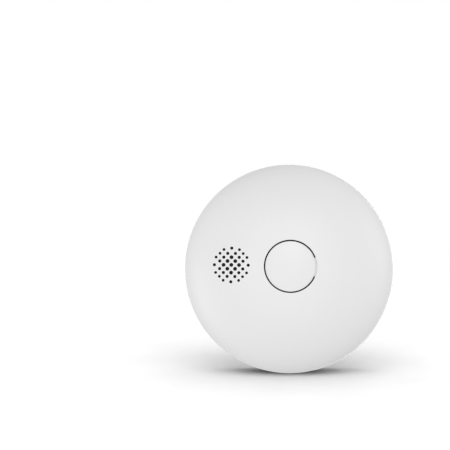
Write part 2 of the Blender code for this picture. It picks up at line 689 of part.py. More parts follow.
def make_rear_housing(finish):
    housing = piece("rear_housing", spun(housing_outline()), finish)
    floor_middle = FLOOR_BACK + FLOOR_THICKNESS / 2
    ledge_inner = PLATE_RADIUS + LEDGE_CLEARANCE
    ledge_root = SKIRT_INNER + SKIRT_WALL / 2
    ledge = rectangle(ledge_inner, ledge_root, LEDGE_BACK, LEDGE_BACK + LEDGE_THICKNESS)
    tunnel = prism(tunnel_outline(TUNNEL_OUTER, floor_middle), -TUNNEL_END, TUNNEL_END)
    fittings = [laid_along_x(tunnel, (0, 0, 0))]
    fittings += [sector(ledge, angle, TAB_ANGLE) for angle in around(TAB_COUNT, TAB_FIRST)]
    for angle in BOSS_ANGLES:
        fittings.append(rod(BOSS_RADIUS, floor_middle, LIP_BOTTOM - SEAT_GAP, polar(BOSS_CIRCLE, angle)))
    for place in BOARD_SCREWS:
        fittings.append(rod(PAD_RADIUS, floor_middle, BOARD_BACK - SEAT_GAP, place, PIN_ROUND))
    join(housing, *fittings)
    bore = SCREW_RADIUS + SCREW_CLEARANCE
    sink = SCREW_HEAD_RADIUS + SCREW_CLEARANCE
    below = FLOOR_BACK - OVERLAP
    cavity = prism(tunnel_outline(TUNNEL_INNER, below), -TUNNEL_HALF, TUNNEL_HALF)
    holes = [laid_along_x(cavity, (0, 0, 0))]
    pilot = BOARD_SCREW_RADIUS + PILOT_CLEARANCE
    for angle in BOSS_ANGLES:
        levels = [(sink, below, SCREW_SEAT), (bore, SCREW_SEAT, LIP_BOTTOM)]
        holes.append(stepped(levels, polar(BOSS_CIRCLE, angle)))
    for place in BOARD_SCREWS:
        holes.append(rod(pilot, FLOOR_TOP - EDGE_BREAK, BOARD_BACK, place, PIN_ROUND))
    cut(housing, *holes)
    half = CONTACT_THICKNESS / 2 + CONTACT_SLOT_MARGIN
    near = TUNNEL_Y + TUNNEL_INNER / 2
    far = TUNNEL_Y + TUNNEL_OUTER + OVERLAP
    low = BOARD_TOP - CONTACT_SLOT_MARGIN
    high = SOLDERED + CONTACT_TAB_HEIGHT + CONTACT_SLOT_MARGIN
    slots = [block((x - half, near, low), (x + half, far, high)) for x in (-CONTACT_X, CONTACT_X)]
    return cut(housing, *slots)


# Smoke inlet

def make_insect_screen(finish):
    """A thin band with a row of upright windows, thickened inwards."""
    seat = FLOOR_TOP - SCREEN_SEAT_DEPTH + SEAT_GAP
    levels = (seat, FLOOR_TOP + SCREEN_HEM, WIDEST - SCREEN_HEM - RETAINER_LIP_DROP, WIDEST)
    edges = []
    for angle in around(SCREEN_WINDOWS):
        edges += [angle - SCREEN_BAR / 2, angle + SCREEN_BAR / 2]
    mesh = bmesh.new()
    grid = []
    for level in levels:
        rise = Vector((0, 0, level))
        grid.append([mesh.verts.new(polar(SCREEN_OUTER, angle) + rise) for angle in edges])
    for band, (lower, upper) in enumerate(zip(grid, grid[1:])):
        for column in range(len(edges)):
            window = band == 1 and column % 2 == 1
            if not window:
                after = (column + 1) % len(edges)
                mesh.faces.new((lower[column], lower[after], upper[after], upper[column]))
    screen = piece("insect_screen", closed(mesh), finish)
    wall = screen.modifiers.new("wall", "SOLIDIFY")
    wall.thickness = SCREEN_WALL
    wall.offset = -1
    wall.use_even_offset = True
    settle(screen)
    return screen


def make_screen_retainer(finish):
    inner = SCREEN_INNER - RETAINER_INSIDE
    lip_inner = SCREEN_OUTER + SEAT_GAP
    lip_outer = lip_inner + RETAINER_LIP_WALL
    low = WIDEST + SEAT_GAP
    lip_low = low - RETAINER_LIP_DROP
    top = low + RETAINER_THICKNESS
    outline = [(inner, low), (lip_inner, low), (lip_inner, lip_low), (lip_outer, lip_low), (lip_outer, low)]
    outline += [(inside_radius(low) - SEAT_GAP, low), (inside_radius(top) - SEAT_GAP, top), (inner, top)]
    return piece("screen_retainer", spun(outline), finish)


# Circuit board and what is soldered to it

def make_circuit_board(finish):
    board = piece("circuit_board", rod(INNER_RADIUS, BOARD_BACK, BOARD_TOP, sides=ROUND), finish)
    below = BOARD_BACK - OVERLAP
    above = BOARD_TOP + OVERLAP
    cut(board, block((-COVER_RADIUS, -COVER_RADIUS, below), (COVER_RADIUS, BOARD_EDGE, above)))
    notch = BOSS_RADIUS + BOARD_EDGE_GAP
    bore = BOARD_SCREW_RADIUS + PILOT_CLEARANCE
    holes = [rod(notch, below, above, polar(BOSS_CIRCLE, angle)) for angle in BOSS_ANGLES]
    holes += [rod(bore, below, above, place, PIN_ROUND) for place in BOARD_SCREWS]
    return cut(board, *holes)


def make_switch(body_finish, plunger_finish):
    half = SWITCH_SIDE / 2
    body = piece("switch_body", block((-half, -half, SOLDERED), (half, half, SWITCH_TOP)), body_finish)
    floor = SWITCH_TOP - PLUNGER_SEAT - BUTTON_TRAVEL - SEAT_GAP
    cut(body, rod(PLUNGER_RADIUS + PLUNGER_GAP, floor, SWITCH_TOP + OVERLAP))
    outline = [(PLUNGER_RADIUS, SWITCH_TOP - PLUNGER_SEAT, PLUNGER_TOP - EDGE_BREAK)]
    outline.append((PLUNGER_RADIUS - EDGE_BREAK, PLUNGER_TOP - EDGE_BREAK, PLUNGER_TOP))
    return body, piece("switch_plunger", stepped(outline), plunger_finish)


def make_status_led(finish):
    half_length = LED_LENGTH / 2
    half_width = LED_WIDTH / 2
    top = SOLDERED + LED_HEIGHT
    package = block((LEG_X - half_width, -half_length, SOLDERED), (LEG_X + half_width, half_length, top))
    led = piece("status_led", package, finish)
    return join(led, rod(LED_LENS_RADIUS, top - OVERLAP, LED_TOP, (LEG_X, 0), PIN_ROUND))


def make_electronics(black, silver, copper):
    half = Vector((CONTROLLER_SIDE / 2, CONTROLLER_SIDE / 2, 0))
    low = CONTROLLER - half + Vector((0, 0, SOLDERED))
    chip = block(low, CONTROLLER + half + Vector((0, 0, SOLDERED + CONTROLLER_HEIGHT)))
    piece("microcontroller", chip, black)
    can_top = SOLDERED + CAPACITOR_HEIGHT
    can = [(CAPACITOR_RADIUS, SOLDERED, can_top - EDGE_BREAK)]
    can.append((CAPACITOR_RADIUS - EDGE_BREAK, can_top - EDGE_BREAK, can_top))
    piece("storage_capacitor", stepped(can, CAPACITOR), silver)
    top = SOLDERED + TRANSFORMER_HEIGHT
    drum = [(TRANSFORMER_RADIUS, SOLDERED, SOLDERED + TRANSFORMER_FLANGE)]
    drum.append((TRANSFORMER_NECK, SOLDERED + TRANSFORMER_FLANGE, top - TRANSFORMER_FLANGE))
    drum.append((TRANSFORMER_RADIUS, top - TRANSFORMER_FLANGE, top))
    piece("sounder_transformer", stepped(drum, TRANSFORMER), copper)


# Sounder

def make_sounder(support_finish, brass, ceramic, steel):
    inner = SUPPORT_RADIUS - SUPPORT_WALL
    disc_radius = SUPPORT_RADIUS - PIEZO_EDGE
    ceramic_top = PIEZO_BACK - BOND_LINE
    ceramic_back = ceramic_top - CERAMIC_THICKNESS
    piece("sounder_support", ring(inner, SUPPORT_RADIUS, SEATED, SUPPORT_TOP, SOUNDER), support_finish)
    piece("piezo_disc", rod(disc_radius, PIEZO_BACK, PIEZO_TOP, SOUNDER, MIDDLE_ROUND), brass)
    piece("piezo_ceramic", rod(CERAMIC_RADIUS, ceramic_back, ceramic_top, SOUNDER, MIDDLE_ROUND), ceramic)
    bare_rim = (CERAMIC_RADIUS + inner) / 2
    tips = {"sounder_contact_ceramic": (0, ceramic_back), "sounder_contact_disc": (bare_rim, PIEZO_BACK)}
    low = SOLDERED + SOUNDER_CONTACT_THICKNESS / 2
    half_width = SOUNDER_CONTACT_WIDTH / 2
    for name, (tip, touch) in tips.items():
        high = touch - SEAT_GAP - SOUNDER_CONTACT_THICKNESS
        heel = tip - SOUNDER_CONTACT_LEAN
        path = [(heel - SOUNDER_CONTACT_FOOT, low), (heel, low)]
        path += [(tip - SOUNDER_CONTACT_TIP, high - SEAT_GAP), (tip, high)]
        path.append((tip + SOUNDER_CONTACT_TIP, high - SEAT_GAP))
        strip = prism(ribbon(path, SOUNDER_CONTACT_THICKNESS), -half_width, half_width)
        piece(name, laid_across_y(strip, SOUNDER), steel)


# Battery

def make_battery(wrap, steel):
    half = CELL_LENGTH / 2
    shoulder = half - CELL_NUB_LENGTH
    rounded = CELL_RADIUS - EDGE_BREAK
    levels = [(rounded, -half, -half + EDGE_BREAK)]
    levels.append((CELL_RADIUS, -half + EDGE_BREAK, shoulder - EDGE_BREAK))
    levels += [(rounded, shoulder - EDGE_BREAK, shoulder), (CELL_NUB_RADIUS, shoulder, half)]
    axis = Vector((0, TUNNEL_Y, CELL_AXIS))
    piece("battery_cell", laid_along_x(stepped(levels, sides=CELL_ROUND), axis), wrap)
    bow = CONTACT_X - half - SEAT_GAP - CONTACT_THICKNESS / 2
    rise = CONTACT_HEIGHT / 2
    leaf = [(CONTACT_X - bow * inwards, rise * up) for inwards, up in LEAF_RATIOS]
    plate = [(-CONTACT_X, -rise), (-CONTACT_X, rise)]
    for name, path in {"battery_contact_positive": leaf, "battery_contact_negative": plate}.items():
        strip = prism(ribbon(path, CONTACT_THICKNESS), -CONTACT_WIDTH / 2, CONTACT_WIDTH / 2)
        contact = piece(name, laid_across_y(strip, axis), steel)
        low = Vector((path[0][0] - CONTACT_THICKNESS / 2, TUNNEL_Y, SOLDERED))
        tab_length = BOARD_EDGE + CONTACT_TAB_REACH - TUNNEL_Y
        join(contact, block(low, low + Vector((CONTACT_THICKNESS, tab_length, CONTACT_TAB_HEIGHT))))


def make_battery_spring(steel):
    """A conical coil between the negative contact and the cell's flat end."""
    start = -CONTACT_X + CONTACT_THICKNESS / 2 + SEAT_GAP + SPRING_WIRE / 2
    end = -CELL_LENGTH / 2 - SEAT_GAP - SPRING_WIRE / 2
    steps = SPRING_TURNS * SPRING_POINTS
    path = []
    for step in range(steps + 1):
        share = step / steps
        turn = TAU * SPRING_TURNS * share
        radius = SPRING_WIDE_RADIUS + (SPRING_TIP_RADIUS - SPRING_WIDE_RADIUS) * share
        centre = Vector((start + (end - start) * share, TUNNEL_Y, CELL_AXIS))
        path.append(centre + Vector((0, radius * math.cos(turn), radius * math.sin(turn))))
    curve = bpy.data.curves.new("battery_spring", "CURVE")
    curve.dimensions = "3D"
    curve.bevel_depth = SPRING_WIRE / 2
    curve.bevel_resolution = 1
    curve.use_fill_caps = True
    spline = curve.splines.new("POLY")
    spline.points.add(len(path) - 1)
    for point, place in zip(spline.points, path):
        point.co = (*place, 1)
    curve.materials.append(steel)
    spring = bpy.data.objects.new("battery_spring", curve)
    bpy.context.collection.objects.link(spring)
    apart = SPRING_POINTS // 2
    least = min((one - other).length for step, one in enumerate(path) for other in path[step + apart:])
    print(f"battery_spring least gap between its turns {(least - SPRING_WIRE) * 1000:.2f} mm")


# Optical smoke chamber

def toward_chamber(angle):
    """Place and turn a solid drawn along +x from the chamber's middle."""
    return Matrix.Translation(CHAMBER) @ Matrix.Rotation(angle, 4, "Z")


def make_chamber_base(finish):
    top = SEATED + CHAMBER_PLATE
    base = piece("chamber_base", rod(CHAMBER_RADIUS, SEATED, top, CHAMBER, MIDDLE_ROUND), finish)
    far = DIODE_BACK - DIODE_FLANGE_LENGTH - SEAT_GAP
    near = far - HOLDER_LENGTH
    holders = []
    holes = []
    for angle in DIODE_ANGLES.values():
        place = toward_chamber(angle)
        half = HOLDER_WIDTH / 2
        holder = block((near, -half, top - OVERLAP), (far, half, SEATED + HOLDER_HEIGHT))
        holders.append(moved(holder, place))
        bore = rod(DIODE_RADIUS + DIODE_BORE_GAP, near - OVERLAP, far + OVERLAP)
        holes.append(moved(laid_along_x(bore, (0, 0, BOARD_TOP + DIODE_AXIS_HEIGHT)), place))
        spread = DIODE_LEAD_SPREAD + DIODE_LEAD + SEAT_GAP
        relief_low = (DIODE_BACK - SEAT_GAP, -spread, SEATED - OVERLAP)
        relief = block(relief_low, (CHAMBER_RADIUS + OVERLAP, spread, top + OVERLAP))
        holes.append(moved(relief, place))
    join(base, *holders)
    return cut(base, *holes)


def make_diodes(clear, dark):
    shoulder = DIODE_LENGTH - DIODE_RADIUS
    height = BOARD_TOP + DIODE_AXIS_HEIGHT
    outline = [(0, 0), (DIODE_FLANGE_RADIUS, 0), (DIODE_FLANGE_RADIUS, DIODE_FLANGE_LENGTH)]
    outline.append((DIODE_RADIUS, DIODE_FLANGE_LENGTH))
    outline += arc((0, shoulder), DIODE_RADIUS, 0, math.pi / 2, DIODE_STEPS)[:-1] + [(0, DIODE_LENGTH)]
    for (name, angle), finish in zip(DIODE_ANGLES.items(), (clear, dark)):
        inwards = Matrix.Translation((DIODE_BACK, 0, height)) @ Matrix.Rotation(-math.pi / 2, 4, "Y")
        place = toward_chamber(angle)
        diode = piece(name, moved(spun(outline, PIN_ROUND), place @ inwards), finish)
        outer = DIODE_BACK + DIODE_LEAD_STRAIGHT
        half = DIODE_LEAD / 2
        leads = []
        for side in (-DIODE_LEAD_SPREAD, DIODE_LEAD_SPREAD):
            bend = [(DIODE_BACK - OVERLAP, height), (outer - half, height), (outer - half, SOLDERED)]
            lead = prism(ribbon(bend, DIODE_LEAD), -half, half)
            leads.append(moved(laid_across_y(lead, (0, side, 0)), place))
        join(diode, *leads)


def make_chamber_cover(finish):
    top = SEATED + CHAMBER_HEIGHT
    lid = top - CHAMBER_PLATE
    cover = piece("chamber_cover", rod(CHAMBER_RADIUS, lid, top, CHAMBER, MIDDLE_ROUND), finish)
    low = SEATED + CHAMBER_PLATE + SEAT_GAP
    outer = CHAMBER_RADIUS - VANE_THICKNESS
    path = [polar(outer - VANE_INNER, -VANE_SWING).xy, polar(outer - VANE_BEND, VANE_SWING).xy]
    path.append(polar(outer, -VANE_SWING / 2).xy)
    vanes = []
    for angle in around(VANE_COUNT, math.pi / VANE_COUNT):
        turns = [abs(math.remainder(angle - diode, TAU)) for diode in DIODE_ANGLES.values()]
        if min(turns) > DIODE_SHADOW:
            vane = prism(ribbon(path, VANE_THICKNESS), low, lid + OVERLAP)
            vanes.append(moved(vane, toward_chamber(angle)))
    return join(cover, *vanes)


# Screws

def make_screws(steel):
    head_top = SCREW_SEAT - SEAT_GAP
    for number, angle in enumerate(BOSS_ANGLES, 1):
        levels = [(SCREW_HEAD_RADIUS, head_top - SCREW_HEAD_HEIGHT, head_top)]
        levels.append((SCREW_RADIUS, head_top, LIP_BOTTOM + SCREW_BITE))
        piece(f"housing_screw_{number}", stepped(levels, polar(BOSS_CIRCLE, angle), PIN_ROUND), steel)
    low = BOARD_TOP + SEAT_GAP
    for number, place in enumerate(BOARD_SCREWS, 1):
        levels = [(BOARD_SCREW_RADIUS, FLOOR_TOP, low)]
        levels.append((BOARD_SCREW_HEAD_RADIUS, low, low + BOARD_SCREW_HEAD_HEIGHT))
        piece(f"board_screw_{number}", stepped(levels, place, PIN_ROUND), steel)


def smooth(item):
    """Shade round faces smooth and keep real edges sharp."""
    if item.type == "MESH":
        item.data.shade_smooth()
        item.data.set_sharp_from_angle(angle=SHARP_EDGE)


def main():
    for item in list(bpy.data.objects):
        bpy.data.objects.remove(item)
    white = material("cover_white", (0.83, 0.83, 0.83), 0.5)
    housing_white = material("housing_white", (0.80, 0.80, 0.80), 0.55)
    button_white = material("button_white", (0.84, 0.84, 0.84), 0.5)
    translucent = material("light_guide", (0.80, 0.81, 0.82), 0.3)
    black = material("chamber_black", (0.02, 0.02, 0.02), 0.6)
    screen_grey = material("screen_black", (0.03, 0.03, 0.03), 0.6)
    board_green = material("board_green", (0.02, 0.14, 0.06), 0.4)
    steel = material("plated_steel", (0.62, 0.61, 0.58), 0.3, 1)
    brass = material("brass", (0.75, 0.58, 0.28), 0.3, 1)
    ceramic = material("piezo_ceramic", (0.75, 0.74, 0.70), 0.5)
    clear = material("clear_lens", (0.75, 0.80, 0.85), 0.1)
    dark = material("dark_lens", (0.03, 0.03, 0.04), 0.2)
    wrap = material("cell_wrap", (0.10, 0.11, 0.13), 0.35)
    copper = material("copper_winding", (0.45, 0.18, 0.08), 0.4, 1)

    make_mounting_plate(housing_white)
    make_rear_housing(housing_white)
    make_front_cover(white)
    make_test_button(button_white)
    make_light_guide(translucent)
    make_insect_screen(screen_grey)
    make_screen_retainer(housing_white)
    make_circuit_board(board_green)
    make_switch(black, button_white)
    make_status_led(clear)
    make_electronics(black, steel, copper)
    make_sounder(housing_white, brass, ceramic, steel)
    make_battery(wrap, steel)
    make_battery_spring(steel)
    make_chamber_base(black)
    make_chamber_cover(black)
    make_diodes(clear, dark)
    make_screws(steel)

    alarm_axis = bpy.data.objects.new("alarm_axis", None)
    alarm_axis.rotation_euler = (math.pi / 2, 0, 0)
    pieces = list(bpy.context.collection.objects)
    bpy.context.collection.objects.link(alarm_axis)
    for item in pieces:
        smooth(item)
        item.parent = alarm_axis


main()
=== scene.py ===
"""The smoke alarm's fine mouldings and finishes, with its studio and camera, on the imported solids.

Pieces are drawn on the alarm's own axis, as in the part's source: z runs from the ceiling out into the
room, x and y are right and up for someone who looks at the face. ALARM_AXIS then turns them into place.
"""

import math

import bmesh
import bpy
from mathutils import Matrix, Vector


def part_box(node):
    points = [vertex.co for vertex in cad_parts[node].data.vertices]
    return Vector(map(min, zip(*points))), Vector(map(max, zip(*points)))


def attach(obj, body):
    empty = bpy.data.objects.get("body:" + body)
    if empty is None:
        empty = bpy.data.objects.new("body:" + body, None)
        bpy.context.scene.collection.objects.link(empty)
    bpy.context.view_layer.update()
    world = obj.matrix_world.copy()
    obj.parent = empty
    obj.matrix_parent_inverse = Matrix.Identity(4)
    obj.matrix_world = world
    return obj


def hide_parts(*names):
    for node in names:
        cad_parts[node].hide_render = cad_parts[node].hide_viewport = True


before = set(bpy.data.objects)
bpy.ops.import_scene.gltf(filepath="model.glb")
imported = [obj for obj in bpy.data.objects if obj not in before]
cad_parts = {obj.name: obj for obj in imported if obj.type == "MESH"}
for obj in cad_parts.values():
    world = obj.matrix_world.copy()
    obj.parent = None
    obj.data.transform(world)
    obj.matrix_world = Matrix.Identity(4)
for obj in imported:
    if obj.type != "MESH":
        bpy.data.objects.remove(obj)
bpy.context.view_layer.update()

TAU = 2 * math.pi
MM = 0.001
ALARM_AXIS = Matrix.Rotation(math.pi / 2, 4, "X")
PLATE = "mounting_plate"
HEAD = "alarm_head"
BUTTON = "test_button"

# Facets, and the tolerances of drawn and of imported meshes
FINE_ROUND = 192
MIDDLE_ROUND = 96
SMALL_ROUND = 48
PIN_ROUND = 24
EASE_STEPS = 4
ARC_SIDES = 24
BEVEL_STEPS = 2
SHARP_EDGE = math.radians(38)
FLAT = math.radians(1)
WELD = 1e-7
NODE_WELD = 1e-6
DOME_TOLERANCE = 20 * WELD

# Sizes of the outer mouldings, in metres
SEAT_GAP = 0.3 * MM
OVERLAP = 0.5 * MM
SHARP = 0.12 * MM
SOFT = 0.3 * MM
COVER_RADIUS = 50 * MM
COVER_WALL = 2 * MM
DOME_RISE = 21 * MM
DOME_FULLNESS = 2.5
DOME_STEPS = 60
INNER_STEPS = 30
WIDEST = 15 * MM
DOME_TOP = WIDEST + DOME_RISE
LIP_RADIUS = 1.4 * MM
LIP_STEPS = 10
LIP_BOTTOM = WIDEST - LIP_RADIUS
BUTTON_RADIUS = 11.97 * MM
BUTTON_EASE = 0.18 * MM
BUTTON_CROWN = 0.75 * MM
BUTTON_EDGE = DOME_TOP - BUTTON_CROWN
BUTTON_WALL = 1.6 * MM
BUTTON_SKIRT_WALL = 1.2 * MM
BUTTON_STEPS = 16
HOLE_RADIUS = 12.61 * MM
COLLAR_RADIUS = 14.05 * MM
COLLAR_DEPTH = 3 * MM
HOOK_COUNT = 3
HOOK_FIRST = math.radians(60)
HOOK_ANGLE = math.radians(24)
HOOK_REACH = 1.1 * MM
HOOK_HEIGHT = 1.2 * MM
STEM_RADIUS = 2.2 * MM
STEM_TIP_RADIUS = 1.8 * MM
# Painted shade: a near-black ring sunk in the button gap, where there is only shade
SHADE_RING_BUTTON_GAP = 0.05 * MM
SHADE_RING_COVER_GAP = 0.02 * MM
SHADE_RING_SINK = 0.6 * MM
SHADE_RING_HEIGHT = 0.7 * MM
GUIDE_ANGLE = math.radians(42)
GUIDE_NOTCH_MARGIN = math.radians(4)
GUIDE_BUTTON_GAP = 0.02 * MM
GUIDE_COVER_GAP = 0.07 * MM
GUIDE_FLANGE_RADIUS = 16.05 * MM
GUIDE_FLANGE_HEIGHT = 1.8 * MM
GUIDE_LEG_DEPTH = 3 * MM
GUIDE_LEG_WIDTH = 4 * MM

# Sounder grille: steps between holes, and hole radii by distance in steps
GRILLE_STEP = 1.826 * MM
GRILLE_ROWS = 4
GRILLE_REACH = 4.48
GRILLE_AXIAL_STEPS = 4.375
GRILLE_HOLES = ((2.1, 0.92 * MM), (3.3, 0.77 * MM), (GRILLE_REACH, 0.68 * MM))
AXIAL_HOLE = 0.75 * MM
HOLE_EASE = 0.08 * MM
GRILLE_WALL = 0.9 * MM
POCKET_RADIUS = 9.8 * MM
CLOTH_RADIUS = 9.6 * MM
CLOTH_GAP = 0.02 * MM
CLOTH_THICKNESS = 0.25 * MM
CLOTH_THREADS = TAU / (0.12 * MM)

# Tray, plate and inlet
FLOOR_BACK = 5 * MM
FLOOR_TOP = 7 * MM
SKIRT_BACK = 0.4 * MM
SKIRT_INNER = 43.4 * MM
SKIRT_OUTER = 45.4 * MM
FLANGE_RADIUS = 47.5 * MM
FLANGE_LAND = 2.2 * MM
FLANGE_STEPS = 14
PLATE_RADIUS = 40.4 * MM
PLATE_THICKNESS = 2 * MM
RIM_WALL = 1.8 * MM
RIB_RADIUS = 21 * MM
RIB_WIDTH = 1.2 * MM
RIB_HEIGHT = 1.4 * MM
TAB_COUNT = 3
TAB_FIRST = math.radians(30)
TAB_ANGLE = math.radians(16)
TAB_BACK = 2.6 * MM
TAB_TOP = 4.2 * MM
TAB_TIP = 42.8 * MM
STOP_ANGLE = math.radians(3)
LEDGE_BACK = 0.7 * MM
LEDGE_TOP = 2.2 * MM
LEDGE_INNER = 41 * MM
SLOT_WIDTH = 4.6 * MM
SLOT_LENGTH = 14 * MM
SLOT_OFFSET = 30 * MM
SLOT_COUNT = 4
MOUTH_FLARE = 0.35 * MM
PAD_RING = 14 * MM
PAD_SINK = 0.4 * MM
GATE_RADIUS = 1.6 * MM
GATE_SINK = 0.7 * MM
EJECTOR_RADIUS = 2 * MM
EJECTOR_CIRCLE = 35 * MM
EJECTOR_SINK = 0.08 * MM
SCREEN_OUTER = 43.8 * MM
SCREEN_INNER = 43 * MM
SCREEN_SEAT = 6.5 * MM
SCREEN_LEVELS = [level * MM for level in (6.8, 8.2, 9.4, 9.75, 10.95, 11.3, 12.5, 15)]
SCREEN_WINDOWS = 160
SCREEN_BAR_SHARE = 0.26
RETAINER_LIP_WALL = 1.1 * MM
RETAINER_LIP_DROP = 1.3 * MM
RETAINER_INSIDE = 0.6 * MM
BOSS_DEGREES = (45, 135, 215, 325)
BOSS_RADIUS = 4.15 * MM
BOSS_CIRCLE = 37.35 * MM
COVER_BOSS_RADIUS = 3.2 * MM
SCREW_BITE = 7 * MM
SCREW_SEAT = 10 * MM
SCREW_BORE = 1.8 * MM
SCREW_PILOT = 1.6 * MM
SCREW_SINK = 3.05 * MM
PAD_RADIUS = 2.6 * MM
PAD_PILOT = 1.15 * MM
BOARD_BACK = 8.4 * MM
TUNNEL_WALL = 1.2 * MM
TUNNEL_INNER = 9 * MM
TUNNEL_HALF = 20.45 * MM
CONTACT_X = 19.95 * MM
CONTACT_SLOT_MARGIN = 0.25 * MM
TAB_SLOT_WIDTH = 0.9 * MM
TAB_SLOT_HEIGHT = 3.5 * MM

# Inner pieces; the crests of threads and windings lie between two shares of a pitch
SUPPORT_WALL = 1.6 * MM
PIEZO_EASE_SHARE = 1 / 3
SPRING_TURNS = 4
SPRING_CLOSED = 0.75
SPRING_POINTS = 36
SPRING_WIDE = 5.2 * MM
SPRING_TIP = 1.8 * MM
SPRING_WIRE = 0.25 * MM
WIRE_STEPS = 4
THREAD_PITCH = 0.9 * MM
THREAD_DEPTH = 0.25 * MM
THREAD_CREST = (0.4, 0.6)
THREAD_TIP_SHARE = 0.7
HEAD_ROUND = 0.5 * MM
CROSS_ARMS = 4
CROSS_SLENDERNESS = 3.6
COIL_TURNS = 9
COIL_FLANGE = 1.2 * MM
COIL_CORE = 3.1 * MM
COIL_RIDGE_SHARE = 0.4
COIL_CREST = (0.3, 0.7)
CELL_ROLL = 0.9 * MM
CELL_NUB = 3.2 * MM
CELL_NUB_HEIGHT = 1.5 * MM
CELL_BAND = (8 * MM, 12.5 * MM)
CAN_GROOVE = 1.5 * MM
CAN_GROOVE_DEPTH = 0.25 * MM
LID_RIM = 1.6 * MM
LID_SINK = 0.3 * MM

# Screws: their number, head's height and thread's radius, and the way their shanks run
SCREWS = {
    "housing_screw": (4, 2 * MM, 1.45 * MM, 1),
    "board_screw": (3, 1.3 * MM, 1 * MM, -1),
}

# Solids that keep their packed form but for rounded edges, and their slots
SOFTENED = {
    "sounder_contact_disc": (0.06 * MM, "plated_steel"),
    "sounder_contact_ceramic": (0.06 * MM, "plated_steel"),
    "battery_contact_positive": (0.08 * MM, "plated_steel"),
    "battery_contact_negative": (0.08 * MM, "plated_steel"),
    "circuit_board": (0.06 * MM, "board_green"),
    "chamber_base": (0.12 * MM, "chamber_black"),
    "chamber_cover": (0.12 * MM, "chamber_black"),
    "switch_body": (0.15 * MM, "chamber_black"),
    "microcontroller": (0.1 * MM, "chamber_black"),
    "status_led": (0.1 * MM, "clear_lens"),
    "infrared_emitter": (0.05 * MM, "clear_lens"),
    "photodiode": (0.05 * MM, "dark_lens"),
}

# Small parts on the board; resistors lie along x and capacitors along y
TRACK_PITCH = 0.9 * MM
TRACK_WIDTH = 0.4 * MM
SOLDER_FILM = 0.03 * MM
LEAD_WIDTH = 0.34 * MM
LEAD_THICKNESS = 0.14 * MM
LEAD_REACH = 0.95 * MM
LEAD_SLANT = 0.2 * MM
LEAD_PITCH = 0.8 * MM
LEADS_PER_SIDE = 8
LEAD_SIDES = 4
KEY_DIMPLE = 0.4 * MM
KEY_INSET = Vector((1.1 * MM, 1.1 * MM, 0))
DRIVER_PLACE = Vector((27.6 * MM, -5.6 * MM, 0))
DRIVER_HALF = Vector((1.45 * MM, 0.65 * MM, 0))
DRIVER_HEIGHT = 1 * MM
DRIVER_PITCH = 0.95 * MM
CHIP_LENGTH = 1.6 * MM
CHIP_WIDTH = 0.8 * MM
CHIP_HEIGHT = 0.5 * MM
CHIP_CAP = 0.3 * MM
CHIP_CAP_LIP = 0.03 * MM
CHIP_EASE = 0.05 * MM
RESISTORS = [(x * MM, y * MM) for x, y in (
    (28.4, 11.4), (28.4, 13), (28.4, 14.6), (18.6, 7.6), (21.4, 7.6), (24.2, 7.6),
    (-6.4, 4.6), (-6.4, 6.4), (-4.5, -7.5), (-1.5, -7.5), (1.5, -7.5), (8.4, 6.2))]
CAPACITORS = [(x * MM, y * MM) for x, y in (
    (19.5, 20.4), (21.5, 20.4), (23.5, 20.4), (25.5, 20.4), (-9.4, 5.4), (-11.2, 5.4),
    (26.6, 1.4), (24.8, 1.4), (5.6, -6.4), (11.4, 6.4))]
JOINT_HEIGHT = 0.8 * MM
JOINT_FOOT = 0.8 * MM
JOINT_TIP = 0.28 * MM
JOINT_SPREADS = {
    "storage_capacitor": 1.25 * MM,
    "sounder_transformer": 2.5 * MM,
    "infrared_emitter": 1.27 * MM,
    "photodiode": 1.27 * MM,
    "switch_body": 2.25 * MM,
}

# Studio: the frame is a square of this many pixels, and each lamp has a place, a size and a level
FRAME_WIDTH = 450
FOCAL_PIXELS = 3128
SENSOR = 36
AIM = Vector((0, -15 * MM, 0))
AIM_PIXEL = (289.36, 268.72)
CAMERA_DISTANCE = 1.5
CAMERA_AZIMUTH = math.radians(-1.45)
CAMERA_ELEVATION = math.radians(-3.2)
CAMERA_ROLL = math.radians(1.56)
FLOOR_TILT = math.radians(12)
FLOOR_HALF = 0.6
FLOOR_GRID = 24
FLOOR_CLEAR = 0.16
FLOOR_GONE = 0.5
FLOOR_LEVEL = 0.2
FLOOR_MOTTLE = 0.01
SKY_LEVEL = 0.57
SOFTBOXES = {
    "front_softbox": ((-0.05, -2.2, 0.05), 1.6, 0.24),
    "high_front_softbox": ((0.1, -2.1, 0.65), 0.3, 0.065),
    "left_softbox": ((-1.88, -0.4, -0.68), 1.4, 0.195),
    "right_softbox": ((1.9, -0.45, 0.5), 1.4, 0.15),
    "back_softbox": ((0.6, 2.1, 0.1), 1.2, 0.29),
}
FLOOR_SOFTBOXES = {
    "floor_overhead": ((0.0, 0.12, 0.7), 3.6, 3.85),
    "floor_front": ((0.0, -0.9, 0.75), 1.3, 1.55),
}


# Shader values

def operator(operation, swapped=False):
    """A method that joins two values in a Math node."""
    def joined(self, other):
        pair = (other, self) if swapped else (self, other)
        return self.finish.maths(operation, *pair)
    return joined


class Value:
    """A shader socket that ordinary arithmetic can be written with."""

    def __init__(self, finish, output):
        self.finish = finish
        self.output = output

    __add__ = operator("ADD")
    __radd__ = operator("ADD", swapped=True)
    __sub__ = operator("SUBTRACT")
    __rsub__ = operator("SUBTRACT", swapped=True)
    __mul__ = operator("MULTIPLY")
    __rmul__ = operator("MULTIPLY", swapped=True)
    __gt__ = operator("GREATER_THAN")
    __lt__ = operator("LESS_THAN")


